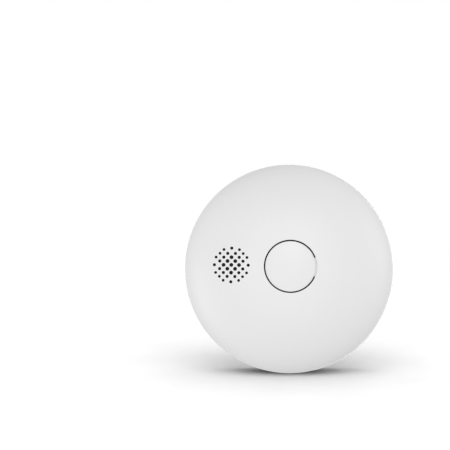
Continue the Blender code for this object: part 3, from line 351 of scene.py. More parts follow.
class Finish:
    """The nodes of a material or a world, added one at a time."""

    def __init__(self, owner):
        owner.use_nodes = True
        owner.node_tree.nodes.clear()
        self.owner = owner

    def node(self, kind, settings=None, inputs=None, output=0):
        """Add a node: its settings first, then the values or links of its sockets."""
        tree = self.owner.node_tree
        made = tree.nodes.new(kind)
        for name, value in (settings or {}).items():
            setattr(made, name, value)
        for socket, value in (inputs or {}).items():
            if isinstance(value, Value):
                tree.links.new(value.output, made.inputs[socket])
            else:
                made.inputs[socket].default_value = value
        return Value(self, made.outputs[output]) if made.outputs else None

    def maths(self, operation, *values):
        return self.node("ShaderNodeMath", {"operation": operation}, dict(enumerate(values)))

    def place(self):
        """Points in metres, in the alarm's frame."""
        return self.node("ShaderNodeTexCoord", output="Object")

    def axis(self, name):
        """The X, Y or Z of a point."""
        return self.node("ShaderNodeSeparateXYZ", None, {0: self.place()}, name)

    def noise(self, scale, detail):
        """Even noise, or drawn-out grain where the scale has a number for each axis."""
        vector = self.place()
        if isinstance(scale, tuple):
            vector = self.node("ShaderNodeVectorMath", {"operation": "MULTIPLY"}, {0: vector, 1: scale})
            scale = 1
        return self.node("ShaderNodeTexNoise", None, {"Vector": vector, "Scale": scale, "Detail": detail})

    def cells(self, output, scale, randomness, distance="EUCLIDEAN"):
        """One output of a cell pattern."""
        inputs = {"Vector": self.place(), "Scale": scale, "Randomness": randomness}
        return self.node("ShaderNodeTexVoronoi", {"distance": distance}, inputs, output)

    def blend(self, share, first, second):
        """A colour between two colours; the numbers are those of a Mix node's colour sockets."""
        inputs = {0: share, 6: as_colour(first), 7: as_colour(second)}
        return self.node("ShaderNodeMix", {"data_type": "RGBA"}, inputs, 2)

    def bump(self, height, depth, strength):
        inputs = {"Height": height, "Distance": depth, "Strength": strength}
        return self.node("ShaderNodeBump", None, inputs, "Normal")

    def ray(self, kind):
        """1 for a ray of one kind, and 0 for any other."""
        return self.node("ShaderNodeLightPath", output=f"Is {kind} Ray")

    def material(self, shader):
        """End in a shader."""
        self.node("ShaderNodeOutputMaterial", None, {"Surface": shader})
        return self.owner

    def surface(self, **sockets):
        """End in a Principled surface, whose sockets are named with _ for a space."""
        inputs = {name.replace("_", " "): value for name, value in sockets.items()}
        return self.material(self.node("ShaderNodeBsdfPrincipled", None, inputs))


def as_colour(colour):
    return colour if isinstance(colour, Value) else (*colour, 1)


def grey(level):
    return (level, level, level)


def dimmed(colour, share):
    return tuple(share * level for level in colour)


def finish_called(name):
    return Finish(bpy.data.materials.new(name))


# Finishes

def moulded(name, colour, grain, depth, roughness, sway=0.012):
    """Spark-textured moulding: a fine even grain, with the faintest cloud in the colour."""
    finish = finish_called(name)
    cloud = finish.noise(scale=38, detail=3)
    spark = finish.noise(grain, detail=3)
    return finish.surface(
        Base_Color=finish.blend(cloud, dimmed(colour, 1 - sway), dimmed(colour, 1 + sway)),
        Roughness=roughness + 0.1 * (spark - 0.5),
        Normal=finish.bump(spark, depth, strength=0.5),
    )


def skinned(name, scale, detail, colours, depth, strength, **sockets):
    """One noise in the colours, in the relief and in each socket that is given as a pair of limits."""
    finish = finish_called(name)
    grain = finish.noise(scale, detail)
    for socket, value in sockets.items():
        if isinstance(value, tuple):
            low, high = value
            sockets[socket] = low + (high - low) * grain
    colour = finish.blend(grain, *colours)
    return finish.surface(Base_Color=colour, Normal=finish.bump(grain, depth, strength), **sockets)


def resin(name, colour, transmission):
    """Cast lens resin with a slightly uneven skin."""
    return skinned(
        name, scale=600, detail=2, colours=(dimmed(colour, 0.94), colour), depth=0.01 * MM, strength=0.3,
        Roughness=(0.06, 0.12), Transmission_Weight=transmission, IOR=1.53)


def drawn_metal(name, colour, stretch, roughness):
    """Plated or rolled metal with drawn scratches along one way and a dull bloom."""
    finish = finish_called(name)
    scratches = finish.noise(stretch, detail=4)
    bloom = finish.noise(scale=160, detail=3)
    return finish.surface(
        Base_Color=finish.blend(0.35 * bloom + 0.35 * scratches, colour, dimmed(colour, 0.78)),
        Metallic=1.0,
        Roughness=roughness + 0.16 * (bloom - 0.5) + 0.12 * (scratches - 0.5),
        Normal=finish.bump(scratches, depth=0.006 * MM, strength=0.5),
    )


def solder_mask():
    """Green mask over copper: bundles of raised tracks that run across or along, with tinned pads."""
    finish = finish_called("solder_mask")
    field = finish.cells("Color", scale=150.0, randomness=0.9, distance="CHEBYCHEV")
    along_x = finish.node("ShaderNodeSeparateColor", None, {0: field}, "Red") > 0.5
    lane = along_x * finish.axis("Z") + (1 - along_x) * finish.axis("X")
    tracks = finish.maths("PINGPONG", lane, TRACK_PITCH / 2) < TRACK_WIDTH / 2
    pads = finish.cells("Distance", scale=210.0, randomness=0.7) < 0.13
    weave = finish.noise(scale=2600, detail=2)
    mask = finish.blend(weave, (0.010, 0.085, 0.035), (0.015, 0.115, 0.048))
    tracked = finish.blend(0.6 * tracks, mask, (0.035, 0.21, 0.08))
    return finish.surface(
        Base_Color=finish.blend(pads, tracked, (0.62, 0.61, 0.58)),
        Metallic=0.9 * pads,
        Roughness=0.3 + 0.15 * weave,
        Normal=finish.bump(0.6 * tracks + pads + 0.1 * weave, depth=0.03 * MM, strength=0.6),
        Coat_Weight=0.3 * (1 - pads),
    )


def shrink_sleeve():
    """Cell sleeve: plain dark film with a pale band, puckered a little where it shrank."""
    finish = finish_called("shrink_sleeve")
    pucker = finish.noise(scale=(120, 420, 420), detail=3)
    along = finish.axis("X")
    band = (along > CELL_BAND[0]) * (along < CELL_BAND[1])
    film = finish.blend(pucker, (0.085, 0.095, 0.115), (0.115, 0.125, 0.15))
    return finish.surface(
        Base_Color=finish.blend(band, film, (0.55, 0.56, 0.58)),
        Roughness=0.22 + 0.12 * pucker,
        Coat_Weight=0.25 + 0.25 * pucker,
        Normal=finish.bump(pucker, depth=0.05 * MM, strength=0.4),
    )


def acoustic_cloth():
    """Black woven cloth: fine crossing threads with gaps between them."""
    finish = finish_called("acoustic_cloth")
    warp, weft = [finish.maths("SINE", finish.axis(name) * CLOTH_THREADS) for name in "XZ"]
    weave = 0.5 + 0.25 * (warp + weft)
    return finish.surface(
        Base_Color=finish.blend(weave, grey(0.003), grey(0.012)),
        Roughness=0.95 - 0.1 * weave,
        Normal=finish.bump(weave, depth=0.05 * MM, strength=0.7),
    )


# Materials by the slot they fill, and three more that share a slot
FINISHES = {
    "cover_white": moulded("cover_white", grey(0.832), grain=2400, depth=0.02 * MM, roughness=0.42),
    "button_white": moulded("button_white", grey(0.817), grain=2400, depth=0.02 * MM, roughness=0.33),
    "housing_white": moulded("housing_white", grey(0.81), grain=1800, depth=0.03 * MM, roughness=0.55),
    "screen_black": moulded(
        "screen_black", (0.016, 0.016, 0.017), grain=2200, depth=0.02 * MM, roughness=0.5, sway=0.2),
    "chamber_black": moulded(
        "chamber_black", (0.011, 0.011, 0.012), grain=1500, depth=0.04 * MM, roughness=0.6, sway=0.25),
    "plated_steel": drawn_metal("plated_steel", (0.66, 0.66, 0.64), stretch=(300, 2600, 300), roughness=0.3),
    "brass": drawn_metal("rolled_brass", (0.72, 0.52, 0.22), stretch=(2400, 260, 260), roughness=0.32),
    "clear_lens": resin("clear_lens", (0.93, 0.95, 0.97), transmission=0.85),
    "dark_lens": resin("dark_lens", (0.03, 0.03, 0.04), transmission=0.2),
    "light_guide": skinned(
        "milky_guide", scale=1500, detail=3, colours=((0.80, 0.803, 0.806), (0.84, 0.843, 0.846)),
        depth=0.01 * MM, strength=0.3, Roughness=(0.28, 0.36), Transmission_Weight=0.08, IOR=1.49),
    "piezo_ceramic": skinned(
        "silvered_ceramic", scale=2200, detail=4, colours=((0.62, 0.61, 0.57), (0.80, 0.79, 0.75)),
        depth=0.008 * MM, strength=0.5, Roughness=(0.42, 0.62), Metallic=(0.25, 0.55)),
    "copper_winding": skinned(
        "enamelled_wire", scale=(260, 2600, 260), detail=3,
        colours=((0.34, 0.12, 0.045), (0.56, 0.24, 0.10)), depth=0.01 * MM, strength=0.4,
        Roughness=(0.24, 0.38), Coat_Weight=(0.4, 0.7), Metallic=0.85),
    "board_green": solder_mask(),
    "cell_wrap": shrink_sleeve(),
    "acoustic_cloth": acoustic_cloth(),
    # Painted shade: the near-black finish of the ring in the button gap
    "matt_rubber": skinned(
        "matt_rubber", scale=1600, detail=4, colours=(grey(0.002), grey(0.009)),
        depth=0.02 * MM, strength=0.4, Roughness=(0.8, 0.95), Specular_IOR_Level=0.12),
    "chip_ceramic": moulded(
        "chip_ceramic", (0.40, 0.29, 0.19), grain=3000, depth=0.01 * MM, roughness=0.45, sway=0.1),
}


# Solids

def closed(mesh):
    """Weld a drawn solid and turn its faces outwards."""
    bmesh.ops.remove_doubles(mesh, verts=mesh.verts, dist=WELD)
    bmesh.ops.recalc_face_normals(mesh, faces=mesh.faces)
    return mesh


def moved(mesh, matrix):
    bmesh.ops.transform(mesh, matrix=matrix, verts=mesh.verts)
    return mesh


def spun(mesh, angle):
    return moved(mesh, Matrix.Rotation(angle, 4, "Z"))


def shifted(mesh, at):
    return moved(mesh, Matrix.Translation((at[0], at[1], 0)))


def eased(corners):
    """An outline whose corners are rounded by their third number, if they have one."""
    outline = []
    for place, corner in enumerate(corners):
        here = Vector(corner[:2])
        if len(corner) == 2:
            outline.append(corner)
            continue
        before = (Vector(corners[place - 1][:2]) - here).normalized() * corner[2]
        after = (Vector(corners[(place + 1) % len(corners)][:2]) - here).normalized() * corner[2]
        for step in range(EASE_STEPS + 1):
            share = step / EASE_STEPS
            outline.append(tuple(here + before * (1 - share) ** 2 + after * share ** 2))
    return outline


def turned(corners, sides=MIDDLE_ROUND, start=0.0, sweep=TAU):
    """Turn eased (radius, height) corners about z. Those that meet the axis begin and end on it."""
    mesh = bmesh.new()
    heading = polar(1, start)
    points = [heading * radius + Vector((0, 0, height)) for radius, height in eased(corners)]
    outline = [mesh.verts.new(point) for point in points]
    whole = math.isclose(sweep, TAU)
    if whole:
        swept = [mesh.edges.new(pair) for pair in zip(outline, outline[1:])]
        if corners[0][0] > 0:
            swept.append(mesh.edges.new((outline[-1], outline[0])))
    else:
        swept = [mesh.faces.new(outline)]
    geom = outline + swept
    bmesh.ops.spin(mesh, geom=geom, axis=(0, 0, 1), angle=sweep, steps=sides, use_merge=whole)
    return closed(mesh)


def sector(corners, middle, sweep, sides=ARC_SIDES):
    """Turn a section through a sweep that is centred on an angle."""
    return turned(corners, sides, middle - sweep / 2, sweep)


def rectangle(inner, outer, low, high, ease=SHARP):
    """A ring's section with eased corners."""
    return [(inner, low, ease), (outer, low, ease), (outer, high, ease), (inner, high, ease)]


def pin(corners, at=(0, 0), sides=SMALL_ROUND):
    """An upright turned pin from its eased corners, lowest first, closed on its axis."""
    section = [(0, corners[0][1]), *corners, (0, corners[-1][1])]
    return shifted(turned(section, sides), at)


def rod(radius, low, high, at=(0, 0), sides=SMALL_ROUND):
    return pin([(radius, low), (radius, high)], at, sides)


def lofted(levels):
    """A solid through (outline, height) levels, lowest first, with as many points in each outline."""
    mesh = bmesh.new()
    rings = [[mesh.verts.new((x, y, height)) for x, y in outline] for outline, height in levels]
    mesh.faces.new(rings[0])
    mesh.faces.new(rings[-1])
    for lower, upper in zip(rings, rings[1:]):
        for corner in range(len(lower)):
            mesh.faces.new((lower[corner - 1], lower[corner], upper[corner], upper[corner - 1]))
    return closed(mesh)


def prism(outline, low, high):
    """Raise an (x, y) outline from one height to another."""
    return lofted([(outline, low), (outline, high)])


def block(low, high):
    """A box between two corners."""
    low = Vector(low)
    high = Vector(high)
    mesh = bmesh.new()
    bmesh.ops.create_cube(mesh, size=1)
    return moved(mesh, Matrix.Translation((low + high) / 2) @ Matrix.Diagonal((*(high - low), 1)))


def laid_along_x(mesh, at=(0, 0, 0)):
    """Lay a solid drawn in (y, z) and raised along its own z onto the x axis, through a point."""
    turn = Matrix(((0, 0, 1, 0), (1, 0, 0, 0), (0, 1, 0, 0), (0, 0, 0, 1)))
    return moved(mesh, Matrix.Translation(at) @ turn)


def arc(centre, radius, first, last, steps):
    """Points on an arc, ends included."""
    turns = [first + (last - first) * step / steps for step in range(steps + 1)]
    return [(centre[0] + radius * math.cos(turn), centre[1] + radius * math.sin(turn)) for turn in turns]


def around(count, first=0.0):
    return [first + TAU * step / count for step in range(count)]


def polar(radius, angle):
    return Vector((radius * math.cos(angle), radius * math.sin(angle), 0))


def grouped(meshes):
    """Put several separate solids into one mesh."""
    group = bmesh.new()
    for mesh in meshes:
        data = bpy.data.meshes.new("group")
        mesh.to_mesh(data)
        mesh.free()
        group.from_mesh(data)
        bpy.data.meshes.remove(data)
    return group


def linked(name, data):
    """A new object in the scene."""
    item = bpy.data.objects.new(name, data)
    bpy.context.scene.collection.objects.link(item)
    return item


def solid(name, mesh):
    """An object of a drawn solid, still on the alarm's axis."""
    data = bpy.data.meshes.new(name)
    mesh.to_mesh(data)
    mesh.free()
    return linked(name, data)


def settle(item):
    """Replace an object's mesh by what its modifiers make of it."""
    mesh = bmesh.new()
    mesh.from_object(item, bpy.context.evaluated_depsgraph_get())
    item.modifiers.clear()
    bmesh.ops.remove_doubles(mesh, verts=mesh.verts, dist=WELD)
    bmesh.ops.dissolve_degenerate(mesh, edges=mesh.edges, dist=WELD)
    mesh.to_mesh(item.data)
    mesh.free()
    return item


def shaped(item, operation, mesh):
    """Join, cut or trim an object with another solid."""
    tool = solid("tool", mesh)
    change = item.modifiers.new(operation, "BOOLEAN")
    change.operation = operation
    change.object = tool
    settle(item)
    bpy.data.meshes.remove(tool.data)


def join(item, *meshes):
    shaped(item, "UNION", grouped(meshes))


def cut(item, *meshes):
    shaped(item, "DIFFERENCE", grouped(meshes))


def rounded(item, ease):
    """Round an object's sharp edges."""
    edges = item.modifiers.new("edges", "BEVEL")
    edges.width = ease
    edges.segments = BEVEL_STEPS
    edges.limit_method = "ANGLE"
    edges.angle_limit = SHARP_EDGE
    return settle(item)


def steady_flats(item):
    """Let the large flat faces lead the shading, so that only the rounded edges turn the light."""
    flats = item.modifiers.new("flats", "WEIGHTED_NORMAL")
    flats.keep_sharp = True


def dress(item, slot, node=None, body=HEAD, finish=None):
    """Finish a piece, turn it into place, and let it move with a body and stand for its CAD node, if any."""
    data = item.data
    data.transform(ALARM_AXIS)
    data.materials.append(FINISHES[finish or slot])
    data.shade_smooth()
    data.set_sharp_from_angle(angle=SHARP_EDGE)
    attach(item, body)
    if node:
        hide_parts(node)
    return item


def own_box(node):
    """A CAD node's corners on the alarm's own axis."""
    low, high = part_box(node)
    return Vector((low.x, low.z, -high.y)), Vector((high.x, high.z, -low.y))


def own_middle(node):
    low, high = own_box(node)
    return (low + high) / 2


def upright(node):
    """Radius, foot and top of a CAD node that is round about an upright axis."""
    low, high = own_box(node)
    return (high.x - low.x) / 2, low.z, high.z


# Front cover, button and light guide

def dome_point(angle, depth=0.0):
    """(radius, height) on the dome at an angle from its top, sunk along the normal by a depth."""
    radius = COVER_RADIUS * math.sin(angle) ** (2 / DOME_FULLNESS)
    height = DOME_RISE * math.cos(angle)
    lean, rise = dome_lean(radius, height)
    return radius - depth * lean, WIDEST + height - depth * rise


def dome_lean(radius, height):
    """Outward and upward parts of the dome's unit normal."""
    lean = DOME_FULLNESS / COVER_RADIUS * (radius / COVER_RADIUS) ** (DOME_FULLNESS - 1)
    rise = 2 / DOME_RISE * (height / DOME_RISE)
    size = math.hypot(lean, rise)
    return lean / size, rise / size


def dome_angle(radius, depth=0.0):
    """The angle at which the dome, sunk by a depth, reaches a radius."""
    low, high = 0.0, math.pi / 2
    while high - low > WELD:
        middle = (low + high) / 2
        if dome_point(middle, depth)[0] < radius:
            low = middle
        else:
            high = middle
    return low


def dome_height(radius, depth=0.0):
    return dome_point(dome_angle(radius, depth), depth)[1]


def dome_run(first, last, steps, depth=0.0):
    """Points down the dome between two angles, ends included."""
    return [dome_point(first + (last - first) * step / steps, depth) for step in range(steps + 1)]


COLLAR_BOTTOM = dome_height(COLLAR_RADIUS, COVER_WALL) - COLLAR_DEPTH
HOOK_TOP = COLLAR_BOTTOM - SEAT_GAP
HOOK_BOTTOM = HOOK_TOP - HOOK_HEIGHT
GUIDE_FLANGE_TOP = dome_height(GUIDE_FLANGE_RADIUS, COVER_WALL) - SEAT_GAP
GUIDE_FLANGE_BOTTOM = GUIDE_FLANGE_TOP - GUIDE_FLANGE_HEIGHT
SOUNDER = own_middle("sounder_support")
PIEZO_TOP = own_box("piezo_disc")[1].z
BOSSES = [polar(BOSS_CIRCLE, math.radians(degrees)) for degrees in BOSS_DEGREES]


def cover_section():
    """From the collar's foot up through the button opening, over the dome to the lip and back inside."""
    corners = [(COLLAR_RADIUS, COLLAR_BOTTOM, SOFT), (HOLE_RADIUS, COLLAR_BOTTOM, SOFT)]
    corners.append((HOLE_RADIUS, dome_height(HOLE_RADIUS), SHARP))
    corners += dome_run(dome_angle(HOLE_RADIUS), math.pi / 2, DOME_STEPS)[1:]
    corners += arc((COVER_RADIUS - LIP_RADIUS, WIDEST), LIP_RADIUS, 0, -math.pi / 2, LIP_STEPS)[1:]
    corners.append((COVER_RADIUS - COVER_WALL, LIP_BOTTOM, SHARP))
    inside = dome_angle(COLLAR_RADIUS, COVER_WALL)
    return corners + dome_run(math.pi / 2, inside, INNER_STEPS, COVER_WALL)


def grille_holes():
    """(place, radius) of each sounder hole: a square lattice on its corner, with smaller holes outwards."""
    rows = range(-GRILLE_ROWS, GRILLE_ROWS + 1)
    holes = []
    for place in [Vector((column, row, 0)) for column in rows for row in rows if (column + row) % 2 == 0]:
        if place.length > GRILLE_REACH:
            continue
        radius = next(size for limit, size in GRILLE_HOLES if place.length <= limit)
        if place.length == GRILLE_ROWS:
            place = place / GRILLE_ROWS * GRILLE_AXIAL_STEPS
            radius = AXIAL_HOLE
        holes.append((SOUNDER.xy + place.xy * GRILLE_STEP, radius))
    return holes


def grille_drill(place, radius):
    """A drill for one sounder hole, whose rounded mouth lies along the dome."""
    wide = radius + HOLE_EASE
    deep = -2 * COVER_WALL
    mouth = arc((wide, -HOLE_EASE), HOLE_EASE, math.pi, math.pi / 2, EASE_STEPS)
    outline = [(0, deep), (radius, deep)] + mouth + [(wide, COVER_WALL), (0, COVER_WALL)]
    distance = place.length
    height = dome_height(distance)
    lean, rise = dome_lean(distance, height - WIDEST)
    along_dome = Matrix.Translation((*place, height))
    along_dome[2].xy = -place / distance * lean / rise
    return moved(turned(outline, PIN_ROUND), along_dome)


def under_dome(depth):
    """The space below the dome, sunk by a depth."""
    outline = [(0, 0), (COVER_RADIUS - depth, 0)] + dome_run(math.pi / 2, 0, INNER_STEPS, depth)
    return turned(outline, FINE_ROUND)


def fitted_under_dome(fittings, depth):
    """Solids trimmed to the dome's underside, as one mesh."""
    inside = solid("inside_fittings", grouped(fittings))
    shaped(inside, "INTERSECT", under_dome(depth))
    trimmed = bmesh.new()
    trimmed.from_mesh(inside.data)
    bpy.data.meshes.remove(inside.data)
    return trimmed


def true_dome_normals(item):
    """Shade the outside of the dome by its exact form, whatever the faces round the holes."""
    data = item.data
    normals = [corner.vector.copy() for corner in data.corner_normals]
    exact = {}
    for vertex in data.vertices:
        x, out, y = vertex.co.x, -vertex.co.y, vertex.co.z
        radius = math.hypot(x, y)
        if HOLE_RADIUS + SHARP < radius < COVER_RADIUS - WELD and out > WIDEST:
            steepness = radius / (COVER_RADIUS - radius)
            if abs(dome_height(radius) - out) < DOME_TOLERANCE * (1 + steepness):
                lean, rise = dome_lean(radius, out - WIDEST)
                exact[vertex.index] = Vector((lean * x / radius, -rise, lean * y / radius))
    for face in data.polygons:
        if all(corner in exact for corner in face.vertices):
            for loop, corner in zip(face.loop_indices, face.vertices):
                normals[loop] = exact[corner]
    data.normals_split_custom_set(normals)


def make_cover():
    cover = solid("front_cover_moulding", turned(cover_section(), FINE_ROUND))
    support = upright("sounder_support")[0]
    collar = rectangle(support - SUPPORT_WALL, support, PIEZO_TOP + SEAT_GAP, DOME_TOP)
    fittings = [shifted(turned(collar), SOUNDER)]
    fittings += [rod(COVER_BOSS_RADIUS, LIP_BOTTOM, DOME_TOP, boss) for boss in BOSSES]
    join(cover, fitted_under_dome(fittings, COVER_WALL / 2))
    cut(cover, fitted_under_dome([rod(POCKET_RADIUS, PIEZO_TOP, DOME_TOP, SOUNDER)], GRILLE_WALL))
    notch_low = COLLAR_BOTTOM - OVERLAP
    notch = rectangle(HOLE_RADIUS - OVERLAP, COLLAR_RADIUS + OVERLAP, notch_low, GUIDE_FLANGE_TOP + SEAT_GAP)
    holes = [sector(notch, 0, GUIDE_ANGLE + 2 * GUIDE_NOTCH_MARGIN)]
    pilot_end = LIP_BOTTOM + SCREW_BITE + SEAT_GAP
    holes += [rod(SCREW_PILOT, LIP_BOTTOM - OVERLAP, pilot_end, boss, PIN_ROUND) for boss in BOSSES]
    holes += [grille_drill(place, radius) for place, radius in grille_holes()]
    cut(cover, *holes)
    true_dome_normals(dress(cover, "cover_white", "front_cover"))


def make_cloth():
    """Black acoustic cloth, stuck into a shallow pocket behind the sounder holes."""
    disc = fitted_under_dome([rod(CLOTH_RADIUS, PIEZO_TOP, DOME_TOP, SOUNDER)], GRILLE_WALL + CLOTH_GAP)
    cloth = solid("sounder_cloth", disc)
    cut(cloth, under_dome(GRILLE_WALL + CLOTH_GAP + CLOTH_THICKNESS))
    dress(cloth, "screen_black", finish="acoustic_cloth")


def make_gap_shade_ring():
    """Painted shade: a near-black ring sunk in the gap round the button, as far as the ends of the light
    guide, that stands in for the gap's shade.
    """
    top = dome_height(HOLE_RADIUS) - SHADE_RING_SINK
    near = BUTTON_RADIUS + SHADE_RING_BUTTON_GAP
    far = HOLE_RADIUS - SHADE_RING_COVER_GAP
    section = rectangle(near, far, top - SHADE_RING_HEIGHT, top, SHARP / 2)
    shade_ring = solid("button_seal", sector(section, math.pi, TAU - GUIDE_ANGLE, FINE_ROUND))
    dress(shade_ring, "screen_black", finish="matt_rubber")


def make_button():
    ceiling = BUTTON_EDGE - BUTTON_WALL
    inner = BUTTON_RADIUS - BUTTON_SKIRT_WALL
    stem_end = own_box("switch_plunger")[1].z + SEAT_GAP
    shares = [step / BUTTON_STEPS for step in range(BUTTON_STEPS)]
    corners = [(share * BUTTON_RADIUS, DOME_TOP - share ** 2 * BUTTON_CROWN) for share in shares]
    corners += [(BUTTON_RADIUS, BUTTON_EDGE, BUTTON_EASE), (BUTTON_RADIUS, HOOK_BOTTOM, SHARP)]
    corners += [(inner, HOOK_BOTTOM, SHARP), (inner, ceiling, SOFT), (STEM_RADIUS, ceiling, SOFT)]
    corners += [(STEM_TIP_RADIUS, stem_end, SOFT), (0, stem_end)]
    button = solid("test_button_moulding", turned(corners, FINE_ROUND))
    root = BUTTON_RADIUS - BUTTON_SKIRT_WALL / 2
    tip = HOLE_RADIUS + HOOK_REACH
    hook = [(root, HOOK_BOTTOM), (BUTTON_RADIUS, HOOK_BOTTOM), (tip, HOOK_TOP - HOOK_HEIGHT / 2, SHARP)]
    hook += [(tip, HOOK_TOP, SHARP), (root, HOOK_TOP)]
    join(button, *[sector(hook, angle, HOOK_ANGLE) for angle in around(HOOK_COUNT, HOOK_FIRST)])
    dress(button, "button_white", "test_button", BUTTON)


def make_guide():
    near = BUTTON_RADIUS + GUIDE_BUTTON_GAP
    far = HOLE_RADIUS - GUIDE_COVER_GAP
    outer = GUIDE_FLANGE_RADIUS
    ease = SHARP / 2
    corners = [(near, BUTTON_EDGE, ease), (near, GUIDE_FLANGE_BOTTOM, ease)]
    corners += [(outer, GUIDE_FLANGE_BOTTOM, ease), (outer, GUIDE_FLANGE_TOP, ease)]
    corners += [(far, GUIDE_FLANGE_TOP), (far, BUTTON_EDGE, ease)]
    guide = solid("light_guide_arc", sector(corners, 0, GUIDE_ANGLE, SMALL_ROUND))
    side = GUIDE_LEG_WIDTH / 2
    leg_low = (outer - GUIDE_LEG_DEPTH, -side, own_box("light_guide")[0].z)
    join(guide, block(leg_low, (outer - OVERLAP, side, GUIDE_FLANGE_BOTTOM + OVERLAP)))
    dress(guide, "light_guide", "light_guide")


# Tray, ceiling plate and smoke inlet

def tray_section():
    """Flat floor, skirt round the ceiling plate, bowed flange and the seat of the insect screen."""
    land_low = FLOOR_TOP - FLANGE_LAND
    corners = [(0, FLOOR_BACK), (SKIRT_INNER, FLOOR_BACK, SOFT), (SKIRT_INNER, SKIRT_BACK, SHARP)]
    corners.append((SKIRT_OUTER - SOFT, SKIRT_BACK))
    for step in range(FLANGE_STEPS + 1):
        turn = math.pi / 2 * step / FLANGE_STEPS
        radius = SKIRT_OUTER + (FLANGE_RADIUS - SKIRT_OUTER) * math.sin(turn)
        corners.append((radius, SKIRT_BACK + (land_low - SKIRT_BACK) * (1 - math.cos(turn))))
    seat_outer = SCREEN_OUTER + SEAT_GAP
    seat_inner = SCREEN_INNER - SEAT_GAP
    corners += [(FLANGE_RADIUS, FLOOR_TOP, SOFT), (seat_outer, FLOOR_TOP, SHARP), (seat_outer, SCREEN_SEAT)]
    return corners + [(seat_inner, SCREEN_SEAT), (seat_inner, FLOOR_TOP, SHARP), (0, FLOOR_TOP)]


def tunnel(radius, foot, half):
    """The battery tunnel's arched form, from end to end."""
    axis = own_middle("battery_cell")
    arch = arc((axis.y, axis.z), radius, 0, math.pi, SMALL_ROUND)
    return laid_along_x(prism(arch + [(axis.y - radius, foot), (axis.y + radius, foot)], -half, half))


def make_tray():
    tray = solid("rear_housing_moulding", turned(tray_section(), FINE_ROUND))
    middle = (FLOOR_BACK + FLOOR_TOP) / 2
    outer = TUNNEL_INNER + TUNNEL_WALL
    ledge = rectangle(LEDGE_INNER, SKIRT_INNER + OVERLAP, LEDGE_BACK, LEDGE_TOP)
    fittings = [tunnel(outer, middle, TUNNEL_HALF + TUNNEL_WALL)]
    fittings += [sector(ledge, angle, TAB_ANGLE) for angle in around(TAB_COUNT, TAB_FIRST)]
    fittings += [rod(BOSS_RADIUS, middle, LIP_BOTTOM - SEAT_GAP, boss) for boss in BOSSES]
    pads = [own_middle(f"board_screw_{number}") for number in (1, 2, 3)]
    fittings += [rod(PAD_RADIUS, middle, BOARD_BACK - SEAT_GAP, pad, PIN_ROUND) for pad in pads]
    join(tray, *fittings)
    below = FLOOR_BACK - OVERLAP
    sink = [(SCREW_SINK + SOFT, below), (SCREW_SINK + SOFT, FLOOR_BACK), (SCREW_SINK, FLOOR_BACK + SOFT)]
    sink += [(SCREW_SINK, SCREW_SEAT), (SCREW_BORE, SCREW_SEAT), (SCREW_BORE, LIP_BOTTOM)]
    holes = [tunnel(TUNNEL_INNER, below, TUNNEL_HALF)]
    holes += [pin(sink, boss) for boss in BOSSES]
    holes += [rod(PAD_PILOT, FLOOR_TOP - SEAT_GAP, BOARD_BACK, pad, PIN_ROUND) for pad in pads]
    cut(tray, *holes)
    axis = own_middle("battery_cell")
    side = TAB_SLOT_WIDTH / 2
    slot_low = own_box("circuit_board")[1].z - CONTACT_SLOT_MARGIN
    slots = []
    for x in (CONTACT_X, -CONTACT_X):
        near = (x - side, axis.y + TUNNEL_INNER / 2, slot_low)
        slots.append(block(near, (x + side, axis.y + outer + OVERLAP, slot_low + TAB_SLOT_HEIGHT)))
    cut(tray, *slots)
    dress(tray, "housing_white", "rear_housing")


def slot_drill(angle):
    """A cutter for one long screw slot, whose mouths are flared at both faces."""
    half = (SLOT_LENGTH - SLOT_WIDTH) / 2
    flares = [(MOUTH_FLARE, -OVERLAP), (MOUTH_FLARE, 0), (0, MOUTH_FLARE)]
    flares += [(flare, PLATE_THICKNESS - height) for flare, height in flares[::-1]]
    levels = []
    for flare, height in flares:
        radius = SLOT_WIDTH / 2 + flare
        outline = arc((SLOT_OFFSET, half), radius, 0, math.pi, ARC_SIDES)
        outline += arc((SLOT_OFFSET, -half), radius, math.pi, TAU, ARC_SIDES)
        levels.append((outline, height))
    return spun(lofted(levels), angle)


def ceiling_side_marks():
    """Cutters for the plate's ceiling side: a centre pad with its gate, a ring and the ejector marks."""
    pad = [(PAD_RING, -OVERLAP), (PAD_RING, PAD_SINK, SHARP), (GATE_RADIUS, PAD_SINK, SHARP)]
    pad.append((GATE_RADIUS, GATE_SINK, SHARP))
    ring = rectangle(RIB_RADIUS - RIB_WIDTH, RIB_RADIUS + RIB_WIDTH, -OVERLAP, PAD_SINK)
    marks = [pin(pad, sides=MIDDLE_ROUND), turned(ring)]
    for angle in around(2 * SLOT_COUNT, math.pi / SLOT_COUNT / 2):
        marks.append(rod(EJECTOR_RADIUS, -OVERLAP, EJECTOR_SINK, polar(EJECTOR_CIRCLE, angle)))
    return marks


